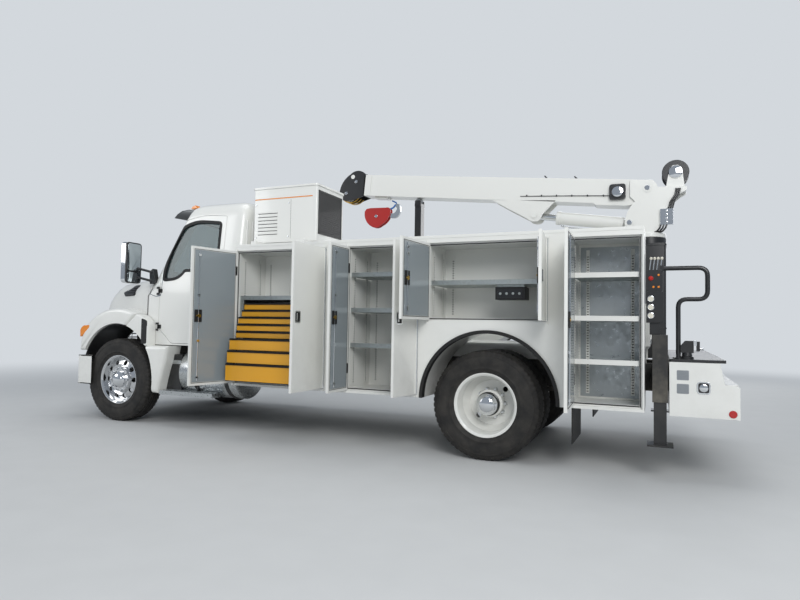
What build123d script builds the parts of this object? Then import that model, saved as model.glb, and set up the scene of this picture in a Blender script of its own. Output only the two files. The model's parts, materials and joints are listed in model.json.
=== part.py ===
from build123d import *
from math import atan2, cos, degrees, radians, sin, sqrt
import os

# Service truck with a telescopic crane, in millimetres.
# X points forward, Y to the driver's side, Z up. The origin is on the floor, on the
# truck's centreline, below the rear axle. The doors of the left side stand open and
# its drawers are pulled out.

os.makedirs("parts", exist_ok=True)

# Running gear
wheelbase = 4710
tyre_radius = 512
tyre_width = 280
tread_width = 216
bead_width = 200
rim_seat_radius = 286
rim_flange_radius = 300
front_tyre_y = 1010
dual_middle_y = 880
dual_spacing = 330
kingpin_y = 850
kingpin_radius = 25
knuckle_gap = 5
fork_height = 40
spindle_radius = 45
spindle_end = 1060
axle_radius = 65
axle_end = 850
seat_gap = 0.3

# Frame
rail_outer_y = 430
rail_height = 260
rail_flange = 80
rail_web = 10
frame_top = 920
rail_rear_x = -1440
rail_front_x = 5330
beam_depth = 120
rail_bottom = frame_top - rail_height

# Service body
body_rear_x = -1380
body_front_x = 2880
body_half_width = 1219
body_bottom = 550
body_top = 2110
pack_inner_y = 659
pack_wall = 20
lip = 12
rebate = 25
door_thickness = 30
door_gap = 6
door_seat = 5
bay_bottom = 600
bay_top = 2020
arch_x = -30
arch_z = 550
arch_radius = 640
flare_width = 22
high_bay_bottom = 1320
crane_bay_x = -1180
drawer_front_x = 2780
drawer_width = 825
drawer_depth = 370
drawer_side_gap = 8
drawer_wall = 3
drawer_face = 12
cabinet_top = 1500
cabinet_wall = 20
floor_z = 1080
floor_thickness = 20
gate_axis_x = -1398
gate_axis_z = 1070
gate_knuckle = 9
gate_pin = 5
gate_hinges = (-500, 0, 500)

# Cab and hood
cab_rear_x = 2970
cab_bottom = 960
cab_half_width = 1050
cab_wall = 45
cab_door_rear_x = 3190
cab_door_front_x = 4150
cab_door_bottom = 975
cab_door_top = 2520
cab_gap = 5
cab_skin = 14
door_depth_y = 855
cab_rebate = 28
cab_axis_x = 4152.5
cab_axis_y = 1059
cab_knuckle = 8
cab_pin = 4
cab_hinge_heights = (1180, 1620)
cowl_x = 4480
glass_thickness = 6
front_arch_radius = 700
fender_half_width = 1190
fender_seam_x = 4330
hood_wall = 12
nose_bottom = 825
nose_x = 5475

# Bumpers
bumper_rear_x = 5385
bumper_front_x = 5500
bumper_bottom = 420
bumper_top = 800
bench_front_x = -1570
bench_top = 980
bench_bottom = 540
hitch_face_x = -2092
hitch_z = 660
hitch_width = 160
hitch_height = 120
hitch_spacing_y = 85.7
hitch_spacing_z = 44.5
hitch_hole_radius = 7
hood_lug_y = 300
hood_lug_width = 30
hood_knuckle = 14
hood_pin = 8

# Crane
crane_x = -1385
crane_y = -850
crane_pitch = 5.7
mast_size = 360
mast_top = 2290
pivot_x = -1370
pivot_z = 2860
boom_height = 330
boom_width = 240
boom_wall = 12
boom_rear = -110
boom_length = 3640
extension_height = 270
extension_width = 190
extension_rear = 500
head_length = 400
base_pin_x = -1180
base_pin_z = 2470
rod_pin_x = -80
rod_pin_z = 2630
pin_radius = 30
pin_clearance = 0.3
barrel_radius = 82
barrel_length = 850
rod_radius = 40
plate = 20
plate_gap = 5
winch_x = -1670
winch_z = 3040
winch_radius = 165
winch_width = 250

# Outriggers
leg_y = 1150
leg_size = 120
leg_wall = 10
leg_gap = 0.3
sleeve_top = 1200
sleeve_bottom = 640
foot_bottom = 280
foot_size = 200
foot_thickness = 16


def block(low, high, mode=Mode.ADD):
    """A plain block between two opposite corners."""
    size = [abs(b - a) for a, b in zip(low, high)]
    middle = [(a + b) / 2 for a, b in zip(low, high)]
    with Locations(tuple(middle)):
        Box(*size, mode=mode)


def side_form(points, y_low, y_high, mode=Mode.ADD):
    """A closed outline seen from the side, made solid from one width to another."""
    far = max(y_low, y_high)
    with BuildSketch(Plane.XZ.offset(-far)) as outline:
        with BuildLine():
            Polyline(*points, close=True)
        make_face()
    extrude(outline.sketch, amount=abs(y_high - y_low), mode=mode)


def bar(start, end, radius, mode=Mode.ADD):
    """A round bar from one point to another."""
    run = Vector(*end) - Vector(*start)
    with BuildSketch(Plane(origin=start, z_dir=run)) as section:
        Circle(radius)
    extrude(section.sketch, amount=run.length, mode=mode)


def cross_bar(x, z, y_low, y_high, radius, mode=Mode.ADD):
    """A round bar or bore that lies across the truck."""
    bar((x, min(y_low, y_high), z), (x, max(y_low, y_high), z), radius, mode)


# Frame: two channel rails, their cross members and the outrigger beam with its sleeves
with BuildPart() as frame:
    for side in (1, -1):
        outer = side * rail_outer_y
        inner = side * (rail_outer_y - rail_flange)
        web_face = side * (rail_outer_y - rail_web)
        block((rail_rear_x, inner, rail_bottom), (rail_front_x, outer, frame_top))
        block(
            (rail_rear_x, inner, rail_bottom + rail_web),
            (rail_front_x, web_face, frame_top - rail_web),
            Mode.SUBTRACT,
        )
    for member_x in (-1100, 700, 1900, 3200):
        block(
            (member_x, rail_web - rail_outer_y, frame_top - 80),
            (member_x + 90, rail_outer_y - rail_web, frame_top - 20),
        )
    block(
        (rail_rear_x - beam_depth, -leg_y, rail_bottom),
        (rail_rear_x, leg_y, frame_top),
    )
    for side in (1, -1):
        block(
            (rail_rear_x - leg_size, side * leg_y - leg_size / 2, sleeve_bottom),
            (rail_rear_x, side * leg_y + leg_size / 2, sleeve_top),
        )
        block(
            (rail_rear_x - leg_size + leg_wall, side * leg_y - leg_size / 2 + leg_wall, sleeve_bottom),
            (rail_rear_x - leg_wall, side * leg_y + leg_size / 2 - leg_wall, sleeve_top - leg_wall),
            Mode.SUBTRACT,
        )
frame.part.label = "frame"
export_step(frame.part, "parts/frame.step")

# Outrigger legs: a square tube in each sleeve with a flat foot
leg_half = leg_size / 2 - leg_wall - leg_gap
leg_x = rail_rear_x - leg_size / 2
for side, side_name in ((1, "left"), (-1, "right")):
    with BuildPart() as leg:
        block(
            (leg_x - leg_half, side * leg_y - leg_half, foot_bottom + foot_thickness),
            (leg_x + leg_half, side * leg_y + leg_half, sleeve_top - 2 * leg_wall),
        )
        block(
            (leg_x - foot_size / 2, side * leg_y - foot_size / 2, foot_bottom),
            (leg_x + foot_size / 2, side * leg_y + foot_size / 2, foot_bottom + foot_thickness),
        )
    leg.part.label = f"outrigger_{side_name}"
    export_step(leg.part, f"parts/{leg.part.label}.step")

# Axles and driveline: rear axle with its springs, front beam, engine, gearbox and shaft
with BuildPart() as driveline:
    cross_bar(0, tyre_radius, -axle_end, axle_end, axle_radius)
    with Locations((0, 0, tyre_radius)):
        Sphere(190)
    for side in (1, -1):
        side_form(
            [
                (-640, rail_bottom), (-560, rail_bottom), (-300, 620), (0, 605), (300, 620), (560, rail_bottom),
                (640, rail_bottom), (640, 630), (300, 575), (0, 555), (-300, 575), (-640, 630),
            ],
            side * 350, side * 420,
        )
    side_form([(3560, 700), (3560, 880), (4100, 900), (4180, 930), (4500, 1010), (4500, 700)], -170, 170)
    block((4495, -300, 760), (5150, 300, 1420))
    block((4700, rail_web - rail_outer_y, 780), (4780, rail_outer_y - rail_web, 840))
    block((5190, -340, 800), (5260, 340, 1400))
    block((5145, -120, 900), (5195, 120, 1200))
    bar((3570, 0, 790), (150, 0, 560), 50)
driveline.part.label = "driveline"
export_step(driveline.part, "parts/driveline.step")

eye_height = 120
eye_radius = 50
front_axle_low = tyre_radius - 110
with BuildPart() as front_axle:
    with BuildSketch(Plane.YZ.offset(wheelbase - 50)):
        with BuildLine():
            Polyline(
                (-kingpin_y, tyre_radius + 60), (-720, tyre_radius + 40), (-620, tyre_radius - 30),
                (620, tyre_radius - 30), (720, tyre_radius + 40), (kingpin_y, tyre_radius + 60),
                (kingpin_y, tyre_radius - 60), (720, tyre_radius - 50), (620, front_axle_low - 30),
                (-620, front_axle_low - 30), (-720, tyre_radius - 50), (-kingpin_y, tyre_radius - 60),
                close=True,
            )
        make_face()
    extrude(amount=100)
    for side in (1, -1):
        eye_low = (wheelbase, side * kingpin_y, tyre_radius - eye_height / 2)
        eye_high = (wheelbase, side * kingpin_y, tyre_radius + eye_height / 2)
        bar(eye_low, eye_high, eye_radius)
        bar(eye_low, eye_high, kingpin_radius + pin_clearance, Mode.SUBTRACT)
        side_form(
            [
                (4070, rail_bottom), (4150, rail_bottom), (4400, 610), (4710, 590), (5020, 610), (5270, rail_bottom),
                (5325, rail_bottom), (5325, 630), (5020, 550), (4710, 480), (4400, 550), (4070, 630),
            ],
            side * 350, side * 420,
        )
front_axle.part.label = "front_axle"
export_step(front_axle.part, "parts/front_axle.step")

# Steering knuckles: a fork round each eye of the front beam, with the king pin and the wheel's spindle
fork_reach = eye_height / 2 + knuckle_gap
fork_end = fork_reach + fork_height
flange_y = kingpin_y + eye_radius + knuckle_gap
for side, side_name in ((1, "left"), (-1, "right")):
    with BuildPart() as knuckle:
        for low, high in ((fork_reach, fork_end), (-fork_end, -fork_reach)):
            block(
                (wheelbase - 45, side * (kingpin_y - 45), tyre_radius + low),
                (wheelbase + 45, side * (flange_y + 25), tyre_radius + high),
            )
        block(
            (wheelbase - 60, side * flange_y, tyre_radius - fork_end),
            (wheelbase + 60, side * (flange_y + 25), tyre_radius + fork_end),
        )
        bar(
            (wheelbase, side * kingpin_y, tyre_radius - fork_end),
            (wheelbase, side * kingpin_y, tyre_radius + fork_end),
            kingpin_radius,
        )
        cross_bar(wheelbase, tyre_radius, side * flange_y, side * spindle_end, spindle_radius)
    knuckle.part.label = f"knuckle_{side_name}"
    export_step(knuckle.part, f"parts/{knuckle.part.label}.step")


def tyre_ring(x, y):
    """One road tyre round a wheel's axis, hollow towards the rim."""
    half = tyre_width / 2
    tread = tread_width / 2
    bead = bead_width / 2
    seat = rim_seat_radius + seat_gap
    flange = rim_flange_radius + seat_gap
    section = [
        (seat, bead - seat_gap), (flange, bead - seat_gap), (flange, bead + 8), (360, half - 8), (405, half), (450, half - 8),
        (tyre_radius - 22, tread + 16), (tyre_radius, tread), (tyre_radius, -tread),
        (tyre_radius - 22, -tread - 16), (450, 8 - half), (405, -half), (360, 8 - half),
        (flange, -bead - 8), (flange, seat_gap - bead), (seat, seat_gap - bead), (seat, 30 - bead), (380, 30 - half),
        (470, 20 - tread), (470, tread - 20), (380, half - 30), (seat, bead - 30),
    ]
    with BuildSketch(Plane(origin=(x, y, tyre_radius), x_dir=(1, 0, 0), z_dir=(0, 0, 1))) as half_section:
        with BuildLine():
            Polyline(*section, close=True)
        make_face()
    revolve(half_section.sketch, axis=Axis((x, y, tyre_radius), (0, 1, 0)))


def wheel_form(x, y, section):
    """A turned wheel part: radius and place along the axle, round the wheel's axis."""
    with BuildSketch(Plane(origin=(x, y, tyre_radius), x_dir=(1, 0, 0), z_dir=(0, 0, 1))) as half_section:
        with BuildLine():
            Polyline(*section, close=True)
        make_face()
    revolve(half_section.sketch, axis=Axis((x, y, tyre_radius), (0, 1, 0)))


def rim_section():
    """Half section of a rim: flange, seat and well."""
    bead = bead_width / 2
    return [
        (rim_flange_radius, bead + 14), (rim_flange_radius, bead + 2), (rim_seat_radius, bead),
        (rim_seat_radius, -bead), (rim_flange_radius, -bead - 2), (rim_flange_radius, -bead - 14),
        (rim_flange_radius - 8, -bead - 14), (rim_seat_radius - 12, -bead), (262, -40), (262, 40),
        (rim_seat_radius - 12, bead), (rim_flange_radius - 8, bead + 14),
    ]


for side, side_name in ((1, "left"), (-1, "right")):
    with BuildPart() as front_tyre:
        tyre_ring(wheelbase, side * front_tyre_y)
    front_tyre.part.label = f"front_tyre_{side_name}"
    export_step(front_tyre.part, f"parts/{front_tyre.part.label}.step")

    with BuildPart() as rear_tyres:
        for tyre_y in (dual_middle_y + dual_spacing / 2, dual_middle_y - dual_spacing / 2):
            tyre_ring(0, side * tyre_y)
    rear_tyres.part.label = f"rear_tyres_{side_name}"
    export_step(rear_tyres.part, f"parts/{rear_tyres.part.label}.step")

    # Front wheel: cast aluminium, its disc near the outside, with ten hand holes
    with BuildPart() as front_wheel:
        wheel_form(wheelbase, side * front_tyre_y, rim_section())
        disc = [(0, 40), (0, 62), (150, 62), (190, 78), (240, 60), (266, 38), (266, 14), (236, 34), (190, 54), (150, 40)]
        wheel_form(wheelbase, side * front_tyre_y, [(r, side * y) for r, y in disc])
        hub = [(0, -14), (0, 130), (50, 128), (88, 112), (96, 92), (150, 92), (156, 60), (110, 50), (60, -14)]
        wheel_form(wheelbase, side * front_tyre_y, [(r, side * y) for r, y in hub])
        with BuildSketch(Plane(origin=(wheelbase, side * front_tyre_y, tyre_radius), x_dir=(1, 0, 0), z_dir=(0, 1, 0))):
            with PolarLocations(214, 10):
                Circle(30)
        extrude(amount=side * 120, mode=Mode.SUBTRACT)
        cross_bar(
            wheelbase, tyre_radius, side * (flange_y + 30), side * (spindle_end + 2),
            spindle_radius + pin_clearance, Mode.SUBTRACT,
        )
    front_wheel.part.label = f"front_wheel_{side_name}"
    export_step(front_wheel.part, f"parts/{front_wheel.part.label}.step")

    # Rear wheels: two dished steel discs bolted face to face, with the hub between them
    with BuildPart() as rear_wheels:
        for outward in (1, -1):
            rim_y = side * (dual_middle_y + outward * dual_spacing / 2)
            wheel_form(0, rim_y, rim_section())
            dish = [(100, -165), (100, -150), (215, -150), (240, -100), (266, -40), (274, -40), (274, -60), (250, -110), (228, -165)]
            wheel_form(0, rim_y, [(r, side * outward * y) for r, y in dish])
        hub = [(0, -150), (0, 220), (60, 214), (88, 190), (100, 150), (130, 120), (130, 40), (104, 20), (104, -150)]
        wheel_form(0, side * dual_middle_y, [(r, side * y) for r, y in hub])
        with BuildSketch(Plane(origin=(0, side * dual_middle_y, tyre_radius), x_dir=(1, 0, 0), z_dir=(0, 1, 0))):
            with PolarLocations(186, 2, start_angle=225):
                Circle(26)
        extrude(amount=80, both=True, mode=Mode.SUBTRACT)
        cross_bar(0, tyre_radius, side * 600, side * (axle_end + 2), axle_radius + pin_clearance, Mode.SUBTRACT)
    rear_wheels.part.label = f"rear_wheels_{side_name}"
    export_step(rear_wheels.part, f"parts/{rear_wheels.part.label}.step")

# Service body. Every bay: front end, rear end and floor of its opening.
bays = {
    "one": (2840, 1720, bay_bottom),
    "two": (1430, 680, bay_bottom),
    "high": (550, -560, high_bay_bottom),
    "rear": (-800, -1340, bay_bottom),
}

# Doors. Every door: bay, which end of the bay hinges it, leaf count of the bay,
# opening angle at rest on the left side.
doors = [
    ("one", "front", 2, 104),
    ("one", "rear", 2, 90),
    ("two", "front", 2, 90),
    ("two", "rear", 2, 80),
    ("high", "front", 2, 95),
    ("high", "rear", 2, 96),
    ("rear", "front", 1, 88),
]
hinge_radius = 7
hinge_pin = 3
hinge_lug = 20
hinge_out = hinge_radius + seat_gap


def door_hinge_x(bay, hinge_end):
    """The place along the truck of a door's hinge line, in the gap at that end of its bay."""
    front_x, rear_x, low_z = bays[bay]
    return front_x + rebate - door_gap if hinge_end == "front" else rear_x - rebate + door_gap


for side, side_name, pack_rear_x in ((1, "left", body_rear_x), (-1, "right", crane_bay_x)):
    outer_y = side * body_half_width
    inner_y = side * pack_inner_y
    face_y = side * (body_half_width - door_thickness - door_seat)
    with BuildPart() as pack:
        block((pack_rear_x, inner_y, body_bottom), (body_front_x, outer_y, body_top))
        for front_x, rear_x, low_z in bays.values():
            if rear_x < pack_rear_x:
                continue
            block((rear_x, side * (pack_inner_y + pack_wall), low_z), (front_x, outer_y, bay_top), Mode.SUBTRACT)
            block(
                (rear_x - rebate, face_y, low_z - rebate),
                (front_x + rebate, outer_y, bay_top + rebate),
                Mode.SUBTRACT,
            )
            block(
                (rear_x - lip, side * (pack_inner_y + pack_wall), low_z - lip),
                (front_x + lip, face_y - side * 40, bay_top + lip + 10),
                Mode.SUBTRACT,
            )
        cross_bar(arch_x, arch_z, inner_y, outer_y, arch_radius, Mode.SUBTRACT)
        for bay, hinge_end, leaves, open_angle in doors:
            front_x, rear_x, low_z = bays[bay]
            if rear_x < pack_rear_x:
                continue
            pin_x = door_hinge_x(bay, hinge_end)
            pin_y = outer_y + side * hinge_out
            low = low_z - rebate
            high = bay_top + rebate
            bar((pin_x, pin_y, low - hinge_lug), (pin_x, pin_y, high + hinge_lug), hinge_pin)
            for lug_low, lug_high in ((low - hinge_lug, low), (high, high + hinge_lug)):
                bar((pin_x, pin_y, lug_low), (pin_x, pin_y, lug_high), hinge_radius)
                block((pin_x - 6, outer_y, lug_low), (pin_x + 6, pin_y, lug_high))
    pack.part.label = f"pack_{side_name}"
    export_step(pack.part, f"parts/{pack.part.label}.step")

# Door leaves, hung on the packs' pins
for side, side_name in ((1, "left"), (-1, "right")):
    for number, (bay, hinge_end, leaves, open_angle) in enumerate(doors, start=1):
        front_x, rear_x, low_z = bays[bay]
        if side < 0 and bay == "rear":
            continue
        front_edge = front_x + rebate - door_gap
        rear_edge = rear_x - rebate + door_gap
        width = (front_edge - rear_edge - (leaves - 1) * door_gap) / leaves
        hinge_x = door_hinge_x(bay, hinge_end)
        reach = -1 if hinge_end == "front" else 1
        swing = radians(open_angle if side > 0 else 0)
        # the leaf's own directions: along it from the hinge, and outwards from its face
        along = Vector(reach * cos(swing), side * sin(swing), 0)
        outward = Vector(-reach * sin(swing), side * cos(swing), 0)
        hinge = Vector(hinge_x, side * (body_half_width + hinge_out), 0)
        low = low_z - rebate + door_gap
        high = bay_top + rebate - door_gap
        leaf_plane = Plane(origin=hinge + Vector(0, 0, low), x_dir=along, z_dir=(0, 0, 1))
        inward = -1 if leaf_plane.y_dir.dot(outward) > 0 else 1
        with BuildPart() as door:
            with BuildSketch(leaf_plane):
                with Locations((width / 2, inward * (hinge_out + door_thickness / 2))):
                    Rectangle(width, door_thickness)
                with Locations((8, inward * hinge_out / 2)):
                    Rectangle(16, hinge_out)
                Circle(hinge_radius)
                Circle(hinge_pin + pin_clearance, mode=Mode.SUBTRACT)
            extrude(amount=high - low)
            with BuildSketch(leaf_plane.offset(55)):
                with Locations((width / 2, inward * (hinge_out + door_thickness - 3))):
                    Rectangle(width - 90, 6)
            extrude(amount=high - low - 110, mode=Mode.SUBTRACT)
        door.part.label = f"door_{side_name}_{number}"
        export_step(door.part, f"parts/{door.part.label}.step")

# Shelves and the drawer cabinet in the open bays of the left side
shelf_depth_front = body_half_width - door_thickness - door_seat - 25
shelf_rear = pack_inner_y + pack_wall
one_front, one_rear, one_low = bays["one"]
cabinet_front = drawer_front_x + drawer_side_gap
cabinet_rear = drawer_front_x - drawer_width - drawer_side_gap
with BuildPart() as shelves:
    for bay, shelf_z in (
        ("one", cabinet_top), ("two", 1010), ("two", 1370), ("two", 1735),
        ("high", 1640), ("rear", 930), ("rear", 1310), ("rear", 1690),
    ):
        front_x, rear_x, low_z = bays[bay]
        block((rear_x + 2, shelf_rear, shelf_z), (front_x - 2, shelf_depth_front, shelf_z + 4))
        block((rear_x + 2, shelf_depth_front - 4, shelf_z), (front_x - 2, shelf_depth_front, shelf_z + 45))
    for wall_low, wall_high in ((cabinet_front, one_front - 2), (cabinet_rear - cabinet_wall, cabinet_rear)):
        block((wall_low, shelf_rear, one_low), (wall_high, shelf_depth_front, cabinet_top))
    block((cabinet_rear, shelf_rear, one_low), (cabinet_front, shelf_depth_front, one_low + 14))
shelves.part.label = "shelves"
export_step(shelves.part, "parts/shelves.step")

# Drawers, from the top: floor height, front height and how far each front stands out of the body
drawer_rows = [
    (1390, 74, -63), (1312, 74, -21), (1234, 74, 38), (1156, 74, 57),
    (1078, 74, 70), (950, 124, 176), (812, 134, 211), (624, 184, 231),
]
for number, (low_z, height, pulled) in enumerate(drawer_rows, start=1):
    front_y = body_half_width + pulled
    rear_x = drawer_front_x - drawer_width
    with BuildPart() as drawer:
        block((rear_x, front_y - drawer_depth, low_z), (drawer_front_x, front_y, low_z + height - 20))
        block(
            (rear_x + drawer_wall, front_y - drawer_depth + drawer_wall, low_z + drawer_wall),
            (drawer_front_x - drawer_wall, front_y - drawer_face, low_z + height),
            Mode.SUBTRACT,
        )
        block((rear_x, front_y - drawer_face, low_z), (drawer_front_x, front_y, low_z + height))
        for runner_x in (cabinet_rear + seat_gap, drawer_front_x):
            block(
                (runner_x, front_y - drawer_depth, low_z + 15),
                (runner_x + drawer_side_gap - seat_gap, front_y - 60, low_z + 35),
            )
    drawer.part.label = f"drawer_{number}"
    export_step(drawer.part, f"parts/{drawer.part.label}.step")

# Bed between the packs: sills, floor and the bulkhead behind the cab
with BuildPart() as bed:
    block((body_rear_x, -pack_inner_y, floor_z - floor_thickness), (body_front_x, pack_inner_y, floor_z))
    for side in (1, -1):
        block((body_rear_x, side * 340, frame_top), (body_front_x, side * 430, floor_z - floor_thickness))
    block((body_front_x - 40, -pack_inner_y, floor_z), (body_front_x, pack_inner_y, 1700))
    for hinge_y in gate_hinges:
        for low, high in ((30 + seat_gap, 60), (-60, -30 - seat_gap)):
            cross_bar(gate_axis_x, gate_axis_z, hinge_y + low, hinge_y + high, gate_knuckle)
            block((gate_axis_x, hinge_y + low, gate_axis_z - 8), (body_rear_x, hinge_y + high, gate_axis_z + 8))
        cross_bar(gate_axis_x, gate_axis_z, hinge_y - 55, hinge_y + 55, gate_pin)
bed.part.label = "bed"
export_step(bed.part, "parts/bed.step")

with BuildPart() as tailgate:
    block((body_rear_x - 36, -610, floor_z + 6), (body_rear_x, 640, 1480))
    block((body_rear_x - 36, -570, floor_z + 60), (body_rear_x - 26, 600, 1430), Mode.SUBTRACT)
    for hinge_y in gate_hinges:
        cross_bar(gate_axis_x, gate_axis_z, hinge_y - 30, hinge_y + 30, gate_knuckle)
        block((gate_axis_x - 4, hinge_y - 30, gate_axis_z), (gate_axis_x + 4, hinge_y + 30, floor_z + 8))
        cross_bar(gate_axis_x, gate_axis_z, hinge_y - 31, hinge_y + 31, gate_pin + pin_clearance, Mode.SUBTRACT)
tailgate.part.label = "tailgate"
export_step(tailgate.part, "parts/tailgate.step")

# Rubber flares round the rear arches and the flaps behind the wheels
with BuildPart() as flares:
    for side in (1, -1):
        near = side * (body_half_width - 60)
        far = side * (body_half_width + 18)
        cross_bar(arch_x, arch_z, near, far, arch_radius - seat_gap)
        cross_bar(arch_x, arch_z, side * (body_half_width + 0.3), far, arch_radius + flare_width)
        cross_bar(arch_x, arch_z, side * 1100, side * 1300, arch_radius - 10, Mode.SUBTRACT)
    block((-900, -1300, -200), (900, 1300, arch_z), Mode.SUBTRACT)
    for side in (1, -1):
        block((-800, side * 600, 230), (-788, side * 1190, body_bottom - seat_gap))
flares.part.label = "flares"
export_step(flares.part, "parts/flares.step")

# Compressor on the left pack: a steel cabinet on two rails
with BuildPart() as compressor:
    block((1960, 390, 2160), (2810, 1000, 2800))
    block((1950, 380, 2775), (2820, 1010, 2800))
    for rail_x in (2040, 2650):
        block((rail_x, 390, body_top), (rail_x + 70, 1150, 2160))
compressor.part.label = "compressor"
export_step(compressor.part, "parts/compressor.step")

# Bumpers: the front one wraps round, the rear one is a work bench with a step
with BuildPart() as bumpers:
    block((bumper_rear_x, -fender_half_width, bumper_bottom), (bumper_front_x, fender_half_width, bumper_top))
    edges = bumpers.edges().filter_by(Axis.Z).group_by(Axis.X)[-1]
    fillet(edges, 90)
    block((rail_front_x, -rail_outer_y, 660), (bumper_rear_x, rail_outer_y, 780))
    side_form(
        [
            (bench_front_x, bench_bottom), (bench_front_x, bench_top), (-1940, bench_top),
            (-1975, 800), (-2075, 790), (-2080, bench_bottom),
        ],
        -body_half_width, body_half_width,
    )
    side_form(
        [
            (bench_front_x - 12, bench_bottom - 1), (bench_front_x - 12, bench_top - 12), (-1930, bench_top - 12),
            (-1965, 788), (-2063, 778), (-2068, bench_bottom - 1),
        ],
        12 - body_half_width, body_half_width - 12, Mode.SUBTRACT,
    )
    side_form(
        [(bench_front_x, bench_top), (bench_front_x, bench_top + 26), (-1985, bench_top + 26), (-1985, bench_top)],
        -body_half_width, body_half_width,
    )
    for side in (1, -1):
        block((bench_front_x - 14, side * 500, 690), (rail_rear_x - beam_depth, side * 640, 890))
        lug_low, lug_high = hood_lug_y, hood_lug_y + hood_lug_width
        cross_bar(nose_x, nose_bottom, side * lug_low, side * lug_high, hood_knuckle)
        block((nose_x - hood_knuckle, side * lug_low, bumper_top), (nose_x + hood_knuckle, side * lug_high, nose_bottom))
        cross_bar(nose_x, nose_bottom, side * (lug_low - 18), side * (lug_high + 18), hood_pin)
    block((hitch_face_x, -hitch_width / 2, hitch_z - hitch_height / 2), (-2066, hitch_width / 2, hitch_z + hitch_height / 2))
    with BuildSketch(Plane(origin=(hitch_face_x - 1, 0, hitch_z), x_dir=(0, 1, 0), z_dir=(1, 0, 0))):
        with GridLocations(hitch_spacing_y, hitch_spacing_z, 2, 2):
            Circle(hitch_hole_radius)
    extrude(amount=40, mode=Mode.SUBTRACT)
bumpers.part.label = "bumpers"
export_step(bumpers.part, "parts/bumpers.step")

# Crane mast at the right rear corner, the boom's rest post, and the rear work station
with BuildPart() as mast:
    block(
        (crane_x - mast_size / 2, crane_y - mast_size / 2, frame_top),
        (crane_x + mast_size / 2, crane_y + mast_size / 2, mast_top - 60),
    )
    bar((crane_x, crane_y, mast_top - 60), (crane_x, crane_y, mast_top), 185)
    block((1420, crane_y - 60, body_top), (1540, crane_y + 60, 2880))
    block((1380, crane_y - 90, body_top), (1580, crane_y + 90, body_top + 12))
    block((-1530, 1060, 1300), (-1392, 1200, 1560))
    block((-1520, 1090, 1560), (-1400, 1190, 1740))
    block((-1500, 1110, sleeve_top), (-1420, 1180, 1300))
    bar((-1640, 1120, bench_top + 26), (-1640, 1120, 1500), 19)
    bar((-1640, 1120, 1500), (-1800, 1120, 1500), 19)
    bar((-1800, 1120, 1500), (-1860, 1120, 1560), 19)
    bar((-1860, 1120, 1560), (-1860, 1120, 1700), 19)
    bar((-1860, 1120, 1700), (-1800, 1120, 1760), 19)
    bar((-1800, 1120, 1760), (-1515, 1120, 1760), 19)
    block((-1530, 1095, 1735), (-1500, 1145, 1785))
    block((-1740, 1060, bench_top + 26), (-1640, 1180, bench_top + 110))
    block((-1760, 1080, bench_top + 60), (-1620, 1160, bench_top + 150))
mast.part.label = "mast"
export_step(mast.part, "parts/mast.step")


def crane_plate(points, y_low, y_high, mode=Mode.ADD):
    """A flat plate of the crane, upright and in line with the boom."""
    side_form(points, crane_y + y_low, crane_y + y_high, mode)


# Turret: two side plates on a turned base, with the winch on their rear deck
turret_outline = [
    (-1200, 3000), (-1340, 2925), (-1480, 2890), (-1770, 2870), (-1580, 2640), (-1500, 2510),
    (-1480, 2330), (-1240, 2330), (-1110, 2440), (-1130, 2510), (-1265, 2740), (-1190, 2780),
]
plate_inner = boom_width / 2 + plate_gap
with BuildPart() as turret:
    for y_low, y_high in ((plate_inner, plate_inner + plate), (-plate_inner - plate, -plate_inner)):
        crane_plate(turret_outline, y_low, y_high)
    bar((crane_x, crane_y, mast_top + seat_gap), (crane_x, crane_y, 2340), 180)
    side_form([(-1760, 2856), (-1760, 2872), (-1570, 2884), (-1570, 2866)], crane_y - plate_inner, crane_y + plate_inner)
    cross_bar(pivot_x, pivot_z, crane_y - plate_inner - plate - 12, crane_y + plate_inner + plate + 12, pin_radius)
    cross_bar(base_pin_x, base_pin_z, crane_y - plate_inner - plate - 8, crane_y + plate_inner + plate + 8, pin_radius)
    cross_bar(winch_x, winch_z, crane_y - winch_width / 2, crane_y + winch_width / 2, 90)
    for y_low in (-winch_width / 2 - 12, winch_width / 2 - 12):
        cross_bar(winch_x, winch_z, crane_y + y_low, crane_y + y_low + 24, winch_radius)
turret.part.label = "turret"
export_step(turret.part, "parts/turret.step")

# Everything on the boom is drawn in the boom's own plane: x along it, y up from its line
boom_dir = (cos(radians(crane_pitch)), 0, sin(radians(crane_pitch)))
boom_plane = Plane(origin=(pivot_x, crane_y, pivot_z), x_dir=boom_dir, z_dir=(0, -1, 0))
boom_up = boom_plane.y_dir
boom_drop = 20


def boom_block(x_low, x_high, up_low, up_high, half_width, mode=Mode.ADD):
    """A block along the boom."""
    with BuildSketch(boom_plane) as outline:
        with Locations(((x_low + x_high) / 2, (up_low + up_high) / 2)):
            Rectangle(x_high - x_low, up_high - up_low)
    extrude(outline.sketch, amount=half_width, both=True, mode=mode)


def boom_point(x, z):
    """A point of the side view, told in the boom's own directions."""
    return boom_plane.to_local_coords(Vector(x, crane_y, z))


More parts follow.
